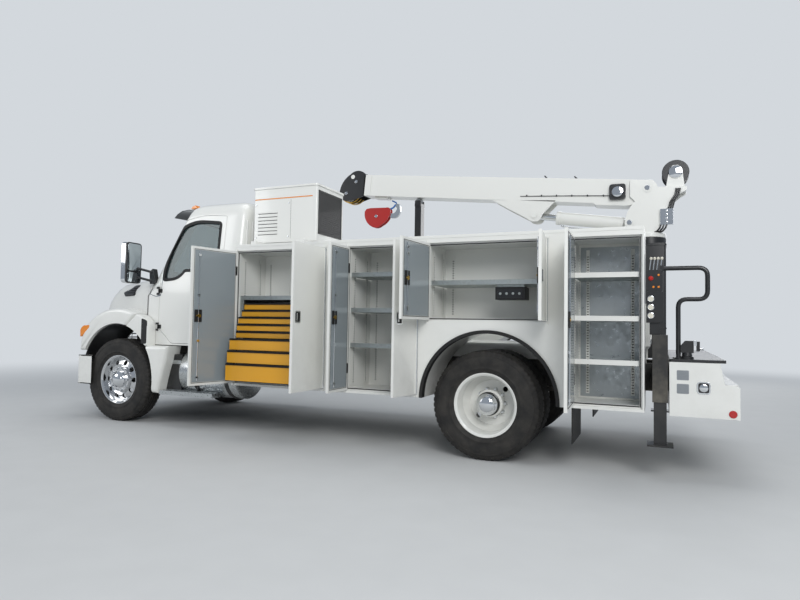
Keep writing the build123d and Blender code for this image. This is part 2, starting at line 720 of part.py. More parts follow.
boom_low = -boom_height / 2 - boom_drop
boom_high = boom_height / 2 - boom_drop
rod_pin = boom_point(rod_pin_x, rod_pin_z)
with BuildPart() as boom:
    boom_block(boom_rear, boom_length, boom_low, boom_high, boom_width / 2)
    boom_block(
        boom_rear + 200, boom_length + 1, boom_low + boom_wall, boom_high - boom_wall,
        boom_width / 2 - boom_wall, Mode.SUBTRACT,
    )
    for low, high in ((boom_low + boom_wall, -extension_height / 2 - boom_drop - seat_gap),
                      (extension_height / 2 - boom_drop + seat_gap, boom_high - boom_wall)):
        boom_block(boom_length - 220, boom_length - 20, low, high, boom_width / 2 - boom_wall)
    for y_low, y_high in ((60, 60 + plate), (-60 - plate, -60)):
        with BuildSketch(boom_plane.offset(y_low)):
            with BuildLine():
                Polyline(
                    (2120, boom_low + 2), (rod_pin.X + 50, rod_pin.Y - 80), (rod_pin.X - 40, rod_pin.Y - 95),
                    (rod_pin.X - 110, rod_pin.Y - 60), (860, boom_low + 2), close=True,
                )
            make_face()
        extrude(amount=plate)
    for side in (1, -1):
        cross_bar(rod_pin_x, rod_pin_z, crane_y + side * (60 + plate), crane_y + side * (72 + plate), pin_radius)
    cross_bar(pivot_x, pivot_z, crane_y - boom_width, crane_y + boom_width, pin_radius + pin_clearance, Mode.SUBTRACT)
    boom_block(3300, 3500, boom_low - 25, boom_low, 60)
boom.part.label = "boom"
export_step(boom.part, "parts/boom.step")

extension_low = -extension_height / 2 - boom_drop
extension_high = extension_height / 2 - boom_drop
with BuildPart() as extension:
    boom_block(extension_rear, boom_length + 40, extension_low, extension_high, extension_width / 2)
    boom_block(
        extension_rear - 1, boom_length, extension_low + boom_wall, extension_high - boom_wall,
        extension_width / 2 - boom_wall, Mode.SUBTRACT,
    )
    with BuildSketch(boom_plane):
        with BuildLine():
            Polyline(
                (boom_length + 6, boom_high), (boom_length + 120, boom_high + 30), (boom_length + 250, boom_high),
                (boom_length + head_length, boom_low - 40), (boom_length + 250, boom_low - 60),
                (boom_length + 6, boom_low), close=True,
            )
        make_face()
    extrude(amount=boom_width / 2 - 10, both=True)
    with BuildSketch(boom_plane):
        with Locations((boom_length + 300, boom_low + 40), (boom_length + 130, boom_high - 60)):
            Rectangle(300, 300)
    extrude(amount=60, both=True, mode=Mode.SUBTRACT)
    sheave_places = [(boom_length + 150, boom_high - 95), (boom_length + 290, boom_low + 45)]
    with BuildSketch(boom_plane):
        with Locations(*sheave_places):
            Circle(95)
    extrude(amount=22, both=True)
    with BuildSketch(boom_plane):
        with Locations(*sheave_places):
            Circle(22)
    extrude(amount=boom_width / 2 - 5, both=True)
extension.part.label = "boom_extension"
export_step(extension.part, "parts/boom_extension.step")

# Lift cylinder and its rod, on the line between their two pins
lift_angle = atan2(rod_pin_z - base_pin_z, rod_pin_x - base_pin_x)
lift_length = sqrt((rod_pin_z - base_pin_z) ** 2 + (rod_pin_x - base_pin_x) ** 2)


def lift_point(distance):
    """A point on the cylinder's line, at a distance from its base pin."""
    return (base_pin_x + distance * cos(lift_angle), crane_y, base_pin_z + distance * sin(lift_angle))


with BuildPart() as barrel:
    bar(lift_point(70), lift_point(barrel_length), barrel_radius)
    bar(lift_point(0), lift_point(75), 55)
    cross_bar(base_pin_x, base_pin_z, crane_y - 60, crane_y + 60, 62)
    bar(lift_point(110), lift_point(barrel_length - 40), barrel_radius - 12, Mode.SUBTRACT)
    bar(lift_point(100), lift_point(barrel_length + 1), rod_radius + seat_gap, Mode.SUBTRACT)
    cross_bar(base_pin_x, base_pin_z, crane_y - 61, crane_y + 61, pin_radius + pin_clearance, Mode.SUBTRACT)
barrel.part.label = "lift_cylinder"
export_step(barrel.part, "parts/lift_cylinder.step")

with BuildPart() as rod:
    bar(lift_point(240), lift_point(lift_length - 40), rod_radius)
    bar(lift_point(200), lift_point(245), barrel_radius - 12 - seat_gap)
    cross_bar(rod_pin_x, rod_pin_z, crane_y - 50, crane_y + 50, 60)
rod.part.label = "lift_rod"
export_step(rod.part, "parts/lift_rod.step")

# Hook block, tied up under the boom
with BuildPart() as hook_block:
    for y_low, y_high in ((20, 40), (-40, -20)):
        crane_plate(
            [(2290, 2830), (2240, 2680), (2110, 2600), (1990, 2640), (1890, 2760), (1900, 2850), (2200, 2870)],
            y_low, y_high,
        )
    cross_bar(2110, 2750, crane_y - 20, crane_y + 20, 105)
    cross_bar(2110, 2750, crane_y - 48, crane_y + 48, 20)
    boom_block(3262, 3298, boom_low - 195, boom_low - 150, 30)
    bar(
        boom_plane.from_local_coords(Vector(3280, boom_low - 190, 0)),
        boom_plane.from_local_coords(Vector(3280, boom_low, 0)), 14,
    )
hook_block.part.label = "hook_block"
export_step(hook_block.part, "parts/hook_block.step")

# Cab: side outline and front outline crossed, hollowed, with doors and windows cut
cab_side = [
    (cab_rear_x, cab_bottom), (cab_rear_x, 2500), (cab_rear_x + 60, 2620), (3200, 2690), (3500, 2710),
    (3800, 2670), (3980, 2590), (cowl_x, 1800), (cowl_x, 1250), (4180, cab_bottom),
]
roof_half_width = 900
belt_z = 1760


def cab_block(inset):
    """The cab's outer form, or a smaller one inset from it all round."""
    half = cab_half_width - inset
    roof = roof_half_width - inset
    with BuildPart() as form:
        with BuildSketch(Plane.XZ):
            with BuildLine():
                Polyline(*cab_side, close=True)
            make_face()
            if inset:
                offset(amount=-inset, kind=Kind.INTERSECTION, mode=Mode.REPLACE)
        extrude(amount=half, both=True)
        with BuildSketch(Plane.YZ.offset(cab_rear_x - 10)):
            with BuildLine():
                Polyline(
                    (-half, 900), (half, 900), (half, belt_z), (roof, 2620), (roof - 120, 2740),
                    (120 - roof, 2740), (-roof, 2620), (-half, belt_z), close=True,
                )
            make_face()
        extrude(amount=1700, mode=Mode.INTERSECT)
    return form.part


door_outline = [
    (cab_door_rear_x, cab_door_bottom + 30), (cab_door_rear_x, cab_door_top), (3880, cab_door_top),
    (cab_door_front_x, 2050), (cab_door_front_x, cab_door_bottom), (cab_door_rear_x + 40, cab_door_bottom),
]
window_outline = [(3270, 1800), (3270, 2440), (3830, 2440), (4070, 2010), (4090, 1770), (3820, 1770), (3780, 1800)]
windscreen = [(-880, 1850), (880, 1850), (800, 2540), (-800, 2540)]
outer_cab = cab_block(0)
inner_cab = cab_block(cab_wall)
swing_room = [
    (cab_door_rear_x - cab_gap, belt_z), (cab_door_rear_x - cab_gap - 12, cab_door_top + cab_gap),
    (cab_door_rear_x + 5, cab_door_top + cab_gap), (cab_door_rear_x + 5, belt_z),
]
sill_top = cab_bottom + cab_wall + 20


def door_zone(margin):
    """The space of both cab doors, outside the sill and the inner wall line, with a margin round it."""
    with BuildPart() as zone:
        with BuildSketch(Plane.XZ):
            with BuildLine():
                Polyline(*door_outline, close=True)
            make_face()
            if margin:
                offset(amount=margin, kind=Kind.INTERSECTION, mode=Mode.REPLACE)
        extrude(amount=cab_half_width + 50, both=True)
        block((2900, -door_depth_y, 900), (4400, door_depth_y, 2700), Mode.SUBTRACT)
        block((2900, cab_wall - cab_half_width, 900), (4400, cab_half_width - cab_wall, sill_top), Mode.SUBTRACT)
    return zone.part


with BuildPart() as door_rebate:
    add(cab_block(cab_skin))
    add(door_zone(cab_rebate), mode=Mode.INTERSECT)
with BuildPart() as cab:
    add(outer_cab)
    add(inner_cab, mode=Mode.SUBTRACT)
    add(door_zone(cab_gap), mode=Mode.SUBTRACT)
    for side in (1, -1):
        side_form(swing_room, side * door_depth_y, side * (cab_half_width + 50), Mode.SUBTRACT)
    add(door_rebate.part, mode=Mode.SUBTRACT)
    with BuildSketch(Plane.YZ.offset(3700)):
        with BuildLine():
            Polyline(*windscreen, close=True)
        make_face()
    extrude(amount=900, mode=Mode.SUBTRACT)
    block((cab_rear_x - 10, -600, 1900), (cab_rear_x + 100, 600, 2350), Mode.SUBTRACT)
    for pad_x in (3150, 4050):
        for side in (1, -1):
            block((pad_x, side * 350, frame_top), (pad_x + 120, side * 430, cab_bottom))
    for side in (1, -1):
        for hinge_z in cab_hinge_heights:
            axis_y = side * cab_axis_y
            for low, high in ((-50, -25), (25, 50)):
                bar((cab_axis_x, axis_y, hinge_z + low), (cab_axis_x, axis_y, hinge_z + high), cab_knuckle)
                block(
                    (cab_axis_x, side * cab_half_width, hinge_z + low),
                    (cab_axis_x + 45, side * (cab_half_width + 4), hinge_z + high),
                )
            bar((cab_axis_x, axis_y, hinge_z - 45), (cab_axis_x, axis_y, hinge_z + 45), cab_pin)
cab.part.label = "cab"
export_step(cab.part, "parts/cab.step")

glass_outer = cab_block(18)
glass_inner = cab_block(18 + glass_thickness)
with BuildPart() as cab_glass:
    add(glass_outer)
    add(glass_inner, mode=Mode.SUBTRACT)
    with BuildSketch(Plane.YZ.offset(2900)):
        with BuildLine():
            Polyline(*windscreen, close=True)
        make_face()
        offset(amount=-seat_gap, kind=Kind.INTERSECTION, mode=Mode.REPLACE)
    extrude(amount=1700, mode=Mode.INTERSECT)
    block((2900, -1000, 1800), (3780, 1000, 1900 + seat_gap), Mode.SUBTRACT)
    block((2900, -1000, 2350 - seat_gap), (3780, 1000, 2700), Mode.SUBTRACT)
    block((3050, -1000, 1800), (3780, 1000, 2700), Mode.SUBTRACT)
    for side in (1, -1):
        block((2900, side * (600 - seat_gap), 1800), (3100, side * 1000, 2700), Mode.SUBTRACT)
cab_glass.part.label = "cab_glass"
export_step(cab_glass.part, "parts/cab_glass.step")

for side, side_name in ((1, "left"), (-1, "right")):
    with BuildPart() as cab_door:
        add(outer_cab)
        add(inner_cab, mode=Mode.SUBTRACT)
        add(door_zone(0), mode=Mode.INTERSECT)
        block((2900, 0, 900), (4400, -side * 1200, 2700), Mode.SUBTRACT)
        side_form(window_outline, side * 500, side * 1200, Mode.SUBTRACT)
    with BuildPart() as pane:
        add(glass_outer)
        add(glass_inner, mode=Mode.SUBTRACT)
        side_form(window_outline, side * 500, side * 1200, Mode.INTERSECT)
    with BuildPart() as glazed_door:
        add(cab_door.part)
        add(pane.part)
        for hinge_z in cab_hinge_heights:
            axis_y = side * cab_axis_y
            low = hinge_z + seat_gap - 25
            high = hinge_z + 25 - seat_gap
            bar((cab_axis_x, axis_y, low), (cab_axis_x, axis_y, high), cab_knuckle)
            block((cab_axis_x - 45, side * cab_half_width, low), (cab_axis_x, side * (cab_half_width + 4), high))
            bar((cab_axis_x, axis_y, low - 1), (cab_axis_x, axis_y, high + 1), cab_pin + pin_clearance, Mode.SUBTRACT)
    glazed_door.part.label = f"cab_door_{side_name}"
    export_step(glazed_door.part, f"parts/{glazed_door.part.label}.step")

# Seats, dashboard and steering wheel
with BuildPart() as interior:
    block((4180, -900, 1350), (cowl_x - cab_wall, 900, 1780))
    for side in (1, -1):
        block((3350, side * 220, cab_bottom + cab_wall), (3750, side * 620, 1300))
        block((3300, side * 200, 1300), (3830, side * 720, 1450))
        side_form([(3230, 1430), (3120, 2120), (3250, 2140), (3380, 1450)], side * 200, side * 720)
    with BuildSketch(Plane(origin=(3960, 470, 1700), z_dir=(-0.75, 0, 0.66))):
        Circle(220)
        Circle(185, mode=Mode.SUBTRACT)
        Rectangle(400, 40)
    extrude(amount=24)
    bar((3960, 470, 1700), (4220, 470, 1560), 28)
interior.part.label = "cab_interior"
export_step(interior.part, "parts/cab_interior.step")

# Mirrors on their arms and the sun visor over the windscreen
with BuildPart() as mirrors:
    for side in (1, -1):
        block((4430, side * 1110, 1720), (4510, side * 1330, 2220))
        bar((4470, side * 1150, 1830), (4300, side * (cab_half_width + 30), 1740), 20)
        block((4260, side * cab_half_width, 1700), (4340, side * (cab_half_width + 32), 1780))
    side_form([(3996, 2588), (4165, 2545), (4160, 2566), (3990, 2642)], -860, 860)
    for side in (1, -1):
        side_form(
            [(3900, 2626.5), (3980, 2591), (4010, 2590), (4010, 2625), (3960, 2645), (3910, 2645)],
            side * 500, side * 530,
        )
mirrors.part.label = "mirrors"
export_step(mirrors.part, "parts/mirrors.step")

# Hood with its wings in one piece, hollow, hinged at the bumper
hood_sections = [
    (cowl_x + 8, 900, 1790, 1240), (4900, 860, 1690, 1150), (5280, 740, 1500, 1000), (nose_x, 640, 1180, nose_bottom),
]


def hood_half(inset):
    """The middle of the hood, lofted through a few arched sections."""
    low = nose_bottom - inset
    with BuildPart() as form:
        for x, half, top, bottom in hood_sections:
            with BuildSketch(Plane.YZ.offset(min(x, nose_x - inset))):
                with BuildLine():
                    half_in = half - inset
                    top_in = top - inset
                    Polyline(
                        (-half_in, low), (-half_in, top_in - 220), (-half_in + 160, top_in - 30),
                        (0, top_in), (half_in - 160, top_in - 30), (half_in, top_in - 220), (half_in, low),
                        close=True,
                    )
                make_face()
        loft(ruled=True)
    return form.part


fender_outline = [
    (nose_x - 5, nose_bottom), (5440, 1040), (5330, 1210), (5120, 1330), (4800, 1390), (fender_seam_x, 1330),
    (fender_seam_x, nose_bottom),
]
with BuildPart() as hood:
    add(hood_half(0))
    for side in (1, -1):
        side_form(fender_outline, side * 600, side * fender_half_width)
    add(hood_half(hood_wall), mode=Mode.SUBTRACT)
    cross_bar(wheelbase, tyre_radius, -1300, 1300, front_arch_radius, Mode.SUBTRACT)
    block(
        (fender_seam_x - 1, -cab_half_width - cab_gap, 800), (cowl_x + 8, cab_half_width + cab_gap, 1900),
        Mode.SUBTRACT,
    )
    for side in (1, -1):
        notch_low = side * (hood_lug_y - knuckle_gap)
        notch_high = side * (hood_lug_y + hood_lug_width + knuckle_gap)
        block((nose_x - 60, notch_low, nose_bottom - 10), (nose_x + 10, notch_high, nose_bottom + 30), Mode.SUBTRACT)
        for low, high in ((hood_lug_y - 20, hood_lug_y - knuckle_gap),
                          (hood_lug_y + hood_lug_width + knuckle_gap, hood_lug_y + hood_lug_width + 20)):
            cross_bar(nose_x, nose_bottom, side * low, side * high, hood_knuckle)
            cross_bar(nose_x, nose_bottom, side * (low - 1), side * (high + 1), hood_pin + pin_clearance, Mode.SUBTRACT)
hood.part.label = "hood"
export_step(hood.part, "parts/hood.step")

# Fixed splash panels behind the front wheels, with the steps, boxes and fuel tank
arch_low_z = 850
arch_low_x = wheelbase - sqrt(front_arch_radius**2 - (arch_low_z - tyre_radius) ** 2)
with BuildPart() as steps:
    for side in (1, -1):
        side_form(
            [
                (fender_seam_x - 5, 1330), (fender_seam_x - 5, 900), (4130, arch_low_z), (4130, 380), (3890, 380),
                (3920, 950), (4175, 950), (4175, 1180), (4230, 1330),
            ],
            side * (cab_half_width + cab_gap), side * fender_half_width,
        )
    cross_bar(wheelbase, tyre_radius, -1300, 1300, front_arch_radius, Mode.SUBTRACT)
    for side in (1, -1):
        block((3160, side * 960, 380), (3960, side * 1200, 430))
        block((4200, side * cab_half_width, 1150), (4320, side * (cab_half_width + cab_gap), 1300))
        block((3600, side * rail_outer_y, 430), (3880, side * 1040, 900))
        for strap_x in (3040, 3480):
            block((strap_x, side * rail_outer_y, 690), (strap_x + 40, side * 600, 770))
        bar((3000, side * 820, 640), (3560, side * 820, 640), 300)
steps.part.label = "steps"
export_step(steps.part, "parts/steps.step")
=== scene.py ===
import json
import math

import bmesh
import bpy
from mathutils import Matrix, Vector


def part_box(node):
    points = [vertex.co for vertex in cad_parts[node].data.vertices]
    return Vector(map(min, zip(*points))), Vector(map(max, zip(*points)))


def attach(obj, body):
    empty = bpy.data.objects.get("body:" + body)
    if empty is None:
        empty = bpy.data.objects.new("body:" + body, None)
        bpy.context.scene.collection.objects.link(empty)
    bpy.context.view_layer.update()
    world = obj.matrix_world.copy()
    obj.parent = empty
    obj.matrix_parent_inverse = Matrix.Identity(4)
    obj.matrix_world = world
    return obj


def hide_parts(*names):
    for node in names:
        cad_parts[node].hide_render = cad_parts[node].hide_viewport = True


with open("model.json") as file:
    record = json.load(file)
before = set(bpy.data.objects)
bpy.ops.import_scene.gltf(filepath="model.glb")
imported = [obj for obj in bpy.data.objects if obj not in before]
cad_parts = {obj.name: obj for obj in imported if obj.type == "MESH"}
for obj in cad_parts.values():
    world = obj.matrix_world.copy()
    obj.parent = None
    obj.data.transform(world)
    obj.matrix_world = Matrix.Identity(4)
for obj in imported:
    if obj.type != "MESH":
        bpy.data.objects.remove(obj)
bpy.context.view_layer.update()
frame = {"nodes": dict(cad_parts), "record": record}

# Camera, floor and light: the photograph was taken beside the rear wheels at eye height with a
# wide lens. The floor is pale seamless paper that fades into its backdrop, lit by soft boxes.
camera_place = Vector((-1.498, 6.641, 1.246))
camera_turn, camera_lift, camera_roll = (math.radians(a) for a in (23.4234, 2.3954, 0.9279))
ahead = Vector((math.sin(camera_turn) * math.cos(camera_lift), -math.cos(camera_turn) * math.cos(camera_lift),
                math.sin(camera_lift)))
level_right = ahead.cross(Vector((0, 0, 1))).normalized()
level_up = level_right.cross(ahead)
right = level_right * math.cos(camera_roll) + level_up * math.sin(camera_roll)
up = level_up * math.cos(camera_roll) - level_right * math.sin(camera_roll)
lens = bpy.data.cameras.new("camera")
lens.sensor_width = 36
lens.lens = 27
lens.clip_end = 400
camera = bpy.data.objects.new("camera", lens)
camera.matrix_world = Matrix.Translation(camera_place) @ Matrix((right, up, -ahead)).transposed().to_4x4()
bpy.context.scene.collection.objects.link(camera)
bpy.context.scene.camera = camera
bpy.context.scene.view_settings.view_transform = "Standard"


def linear(hex_colour):
    """A hex sRGB colour as linear red, green, blue and alpha."""
    values = [int(hex_colour[i:i + 2], 16) / 255 for i in (1, 3, 5)]
    return [v / 12.92 if v <= 0.04045 else ((v + 0.055) / 1.055) ** 2.4 for v in values] + [1.0]


def feed(tree, node, sockets):
    """Gives a node's inputs their values, or links them to another node's output."""
    for key, value in sockets.items():
        if isinstance(value, bpy.types.NodeSocket):
            tree.links.new(value, node.inputs[key])
        else:
            node.inputs[key].default_value = value


def put(tree, kind, sockets=None, **settings):
    """Adds one node with its settings and its inputs."""
    node = tree.nodes.new(kind)
    for name, value in settings.items():
        setattr(node, name, value)
    feed(tree, node, sockets or {})
    return node


def new_finish(name):
    """A new material with its own shader: the node tree, the place on the piece in metres, and the shader."""
    made = bpy.data.materials.new(name)
    made.use_nodes = True
    tree = made.node_tree
    place = put(tree, "ShaderNodeTexCoord").outputs["Object"]
    return made, tree, place, tree.nodes["Principled BSDF"]


backdrop = linear("#d3d8dd")
world = bpy.data.worlds.new("studio")
world.use_nodes = True
bpy.context.scene.world = world
studio = world.node_tree
rays = put(studio, "ShaderNodeLightPath")
sky = put(studio, "ShaderNodeBackground", {"Color": linear("#cfd9e6"), "Strength": 0.5})
paper = put(studio, "ShaderNodeBackground", {"Color": backdrop, "Strength": 1.0})
both = put(studio, "ShaderNodeMixShader", {0: rays.outputs["Is Camera Ray"], 1: sky.outputs[0],
                                           2: paper.outputs[0]})
feed(studio, studio.nodes["World Output"], {"Surface": both.outputs[0]})

paper_finish, tree, place, surface = new_finish("floor_paper")
fibre = put(tree, "ShaderNodeTexNoise", {"Vector": place, "Scale": 3.0, "Detail": 2})
tone = put(tree, "ShaderNodeMix", {
    "Factor": fibre.outputs["Fac"], 6: linear("#c4c5c4"), 7: linear("#cacbca")}, data_type="RGBA")
feed(tree, surface, {"Base Color": tone.outputs[2], "Roughness": 0.9})
reach = put(tree, "ShaderNodeVectorMath", {0: place}, operation="LENGTH")
fade = put(tree, "ShaderNodeMapRange", {0: reach.outputs["Value"], 1: 7.0, 2: 17.0},
           interpolation_type="SMOOTHSTEP")
far_paper = put(tree, "ShaderNodeEmission", {"Color": backdrop, "Strength": 1.0})
faded = put(tree, "ShaderNodeMixShader", {0: fade.outputs[0], 1: surface.outputs[0], 2: far_paper.outputs[0]})
feed(tree, tree.nodes["Material Output"], {"Surface": faded.outputs[0]})
floor_form = bmesh.new()
bmesh.ops.create_circle(floor_form, cap_ends=True, segments=96, radius=120)
floor_data = bpy.data.meshes.new("floor")
floor_form.to_mesh(floor_data)
floor_form.free()
floor = bpy.data.objects.new("floor", floor_data)
floor_data.materials.append(paper_finish)
bpy.context.scene.collection.objects.link(floor)

for name, spot, aim, size, watts in (
    ("key_box", (-4.5, 9.5, 6.5), (1.5, 0.5, 1.2), 5.0, 700),
    ("side_box", (9.5, 6.0, 4.5), (3.5, 0.5, 1.2), 4.0, 170),
    ("top_box", (1.5, 0.0, 9.5), (1.5, 0.0, 0.0), 7.0, 260),
    ("back_box", (-2.0, -10.0, 6.0), (1.0, 0.0, 1.5), 6.0, 300),
):
    box_light = bpy.data.lights.new(name, "AREA")
    box_light.energy = watts
    box_light.size = size
    lamp = bpy.data.objects.new(name, box_light)
    lamp.location = spot
    lamp.rotation_euler = (Vector(aim) - Vector(spot)).to_track_quat("-Z", "Y").to_euler()
    bpy.context.scene.collection.objects.link(lamp)


# Frame, axles and driveline: pressed steel channels, forged beam and cast housings in black
# chassis paint, with road dust that thickens towards the ground.


def enamel(name, hex_colour, roughness, coat=0.0, dust=0.25, dust_hex="#8d877a", peel_mm=3.0):
    """Sprayed enamel on steel: an even colour, faint orange peel, and dust that thickens near the road."""
    made, tree, place, surface = new_finish(name)
    depth = put(tree, "ShaderNodeSeparateXYZ", {0: place})
    low = put(tree, "ShaderNodeMapRange", {0: depth.outputs["Z"], 1: 1.5, 2: 0.35, 3: 0.0, 4: 1.0})
    drift = put(tree, "ShaderNodeTexNoise", {"Vector": place, "Scale": 5.0, "Detail": 6, "Roughness": 0.62})
    patchy = put(tree, "ShaderNodeMapRange", {0: drift.outputs["Fac"], 1: 0.42, 2: 0.72, 3: 0.12, 4: 1.0})
    amount = put(tree, "ShaderNodeMath", {0: low.outputs[0], 1: patchy.outputs[0]}, operation="MULTIPLY")
    amount = put(tree, "ShaderNodeMath", {0: amount.outputs[0], 1: dust}, operation="MULTIPLY")
    shade = put(tree, "ShaderNodeMix", {
        "Factor": amount.outputs[0], 6: linear(hex_colour), 7: linear(dust_hex)}, data_type="RGBA")
    matt = put(tree, "ShaderNodeMapRange", {0: amount.outputs[0], 1: 0.0, 2: 0.3, 3: roughness,
                                            4: min(0.9, roughness + 0.3)})
    peel = put(tree, "ShaderNodeTexNoise", {"Vector": place, "Scale": 1000 / peel_mm, "Detail": 1})
    relief = put(tree, "ShaderNodeBump", {"Height": peel.outputs["Fac"], "Strength": 0.06,
                                          "Distance": 0.0006})
    feed(tree, surface, {"Base Color": shade.outputs[2], "Roughness": matt.outputs[0],
                         "Normal": relief.outputs[0], "Coat Weight": coat, "Coat Roughness": 0.08})
    return made


chassis_black = enamel("chassis_enamel", "#1b1c1e", 0.5, dust=0.75)
white_enamel = enamel("white_enamel", "#e6e6e1", 0.28, coat=0.5, dust=0.16)


def joined(node):
    """A solid's mesh with its loose triangles joined and its flat faces whole, as a bmesh."""
    form = bmesh.new()
    form.from_mesh(frame["nodes"][node].data)
    bmesh.ops.remove_doubles(form, verts=form.verts, dist=2e-5)
    bmesh.ops.dissolve_limit(form, angle_limit=math.radians(0.5), verts=form.verts, edges=form.edges)
    return form


def piece(name, form, finishes, body, rounding=0.0, crease=32):
    """Makes a form a piece that rides on its body. Edges sharper than crease stay sharp or are rounded."""
    for face in form.faces:
        face.smooth = True
    for edge in form.edges:
        edge.smooth = len(edge.link_faces) == 2 and edge.calc_face_angle(0.0) < math.radians(crease)
    data = bpy.data.meshes.new(name)
    form.to_mesh(data)
    form.free()
    for finish in finishes:
        data.materials.append(finish)
    made = bpy.data.objects.new(name, data)
    bpy.context.scene.collection.objects.link(made)
    if rounding:
        edge_round = made.modifiers.new("edge_round", "BEVEL")
        edge_round.width = rounding
        edge_round.segments = 2
        edge_round.limit_method = "ANGLE"
        edge_round.angle_limit = math.radians(crease)
        edge_round.harden_normals = True
    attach(made, body)
    return made


body_of_node = {node: name for name, nodes in frame["record"]["behaviour"]["bodies"].items()
                for node in nodes}


def dressed(node, finishes, rounding=0.002, choose=None):
    """The solid's own form with rounded edges, standing for the node. choose picks a finish by face."""
    form = joined(node)
    if choose:
        for face in form.faces:
            face.material_index = choose(face.calc_center_median(), face.normal)
    made = piece(node + "_look", form, finishes, body_of_node[node], rounding)
    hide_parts(node)
    return made


def stand_in(node, form, finishes, rounding=0.0, crease=32):
    """A detailed piece that takes a node's place."""
    made = piece(node + "_look", form, finishes, body_of_node[node], rounding, crease)
    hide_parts(node)
    return made


for node in ("frame", "driveline", "front_axle", "knuckle_left", "knuckle_right"):
    dressed(node, [chassis_black], 0.003)


def box(form, low, high, finish=0):
    """A plain block between two opposite corners."""
    spans = [(min(a, b), max(a, b)) for a, b in zip(low, high)]
    corners = [form.verts.new((x, y, z)) for x in spans[0] for y in spans[1] for z in spans[2]]
    for loop in ((0, 1, 3, 2), (4, 6, 7, 5), (0, 4, 5, 1), (2, 3, 7, 6), (0, 2, 6, 4), (1, 5, 7, 3)):
        form.faces.new([corners[i] for i in loop]).material_index = finish


def arc_steps(start, through, end, count=8):
    """Points along the arc from start through a middle point to the end."""
    (ax, ay), (bx, by), (cx, cy) = start, through, end
    turn = 2 * (ax * (by - cy) + bx * (cy - ay) + cx * (ay - by))
    a_square, b_square, c_square = (x * x + y * y for x, y in (start, through, end))
    ox = (a_square * (by - cy) + b_square * (cy - ay) + c_square * (ay - by)) / turn
    oy = (a_square * (cx - bx) + b_square * (ax - cx) + c_square * (bx - ax)) / turn
    first, middle, last = (math.atan2(y - oy, x - ox) for x, y in (start, through, end))
    sweep = (last - first) % (2 * math.pi)
    if (middle - first) % (2 * math.pi) > sweep:
        sweep -= 2 * math.pi
    radius = math.hypot(ax - ox, ay - oy)
    return [(ox + radius * math.cos(first + sweep * i / count),
             oy + radius * math.sin(first + sweep * i / count))
            for i in range(1, count + 1)]


def traced(steps):
    """An outline's points: each step is a corner, or the middle and the end of an arc."""
    points = []
    for step in steps:
        points += arc_steps(points[-1], *step) if isinstance(step[0], tuple) else [step]
    return points


def rectangle(left, low, right, high):
    """The corners of an upright rectangle, as an outline."""
    return [(left, low), (right, low), (right, high), (left, high)]


def slab(form, steps, y_low, y_high, finish=0, shift=(0.0, 0.0)):
    """An outline seen from the side, made solid from one width to another."""
    points = [(x + shift[0], z + shift[1]) for x, z in traced(steps)]
    near, far = ([form.verts.new((x, y, z)) for x, z in points] for y in (y_low, y_high))
    faces = [form.faces.new(near), form.faces.new(far[::-1])]
    for i, vert in enumerate(near):
        faces.append(form.faces.new((near[i - 1], far[i - 1], far[i], vert)))
    for face in faces:
        face.material_index = finish
    bmesh.ops.recalc_face_normals(form, faces=faces)


def skinned(form, rings):
    """The faces that join each ring of corners to the next one; the ends stay open."""
    return [form.faces.new((first[i - 1], first[i], second[i], second[i - 1]))
            for first, second in zip(rings, rings[1:]) for i in range(len(first))]


def coloured(form, finish):
    """Gives all of a form's faces one finish."""
    for face in form.faces:
        face.material_index = finish
    return form


def disc(radius, thickness):
    """The section of a flat round plate."""
    return rectangle(0.0, 0.0, radius, thickness)


def pin(radius, half_length, chamfer):
    """The section of a round pin with chamfered ends, about its middle."""
    return [(0.0, -half_length), (radius - chamfer, -half_length), (radius, chamfer - half_length),
            (radius, half_length - chamfer), (radius - chamfer, half_length), (0.0, half_length)]


def lathe(form, centre, section, axis="Y", finish=0, segments=64, ribs=None):
    """A section turned round an axis through centre. Each step gives a radius and a place along the axis."""
    turn = {"X": Matrix(((0, 0, 1), (0, 1, 0), (-1, 0, 0))), "Y": Matrix(((1, 0, 0), (0, 0, 1), (0, -1, 0))),
            "Z": Matrix.Identity(3)}[axis]
    rings = []
    for i in range(segments):
        angle = 2 * math.pi * i / segments
        rows = section if ribs is None or i % 4 else ribs
        rings.append([form.verts.new(
            Vector(centre) + turn @ Vector((r * math.cos(angle), r * math.sin(angle), along)))
            for r, along in rows])
    faces = []
    for i, ring in enumerate(rings):
        for j in range(len(ring) - 1):
            faces.append(form.faces.new((rings[i - 1][j], rings[i - 1][j + 1], ring[j + 1], ring[j])))
    for face in faces:
        face.material_index = finish
    bmesh.ops.remove_doubles(form, verts=[v for ring in rings for v in ring], dist=1e-6)
    bmesh.ops.recalc_face_normals(form, faces=[f for f in faces if f.is_valid])


def tube(form, points, radius, finish=0, segments=12):
    """A round bar or pipe along a run of points."""
    points = [Vector(p) for p in points]
    side = None
    rings = []
    for i, point in enumerate(points):
        ahead_way = points[min(i + 1, len(points) - 1)] - points[max(i - 1, 0)]
        ahead_way.normalize()
        if side is None:
            side = ahead_way.orthogonal()
        side = (side - ahead_way * side.dot(ahead_way)).normalized()
        across = ahead_way.cross(side)
        rings.append([form.verts.new(point + radius * (side * math.cos(a) + across * math.sin(a)))
                      for a in (2 * math.pi * k / segments for k in range(segments))])
    faces = skinned(form, rings) + [form.faces.new(rings[0]), form.faces.new(rings[-1][::-1])]
    for face in faces:
        face.material_index = finish
    bmesh.ops.recalc_face_normals(form, faces=faces)


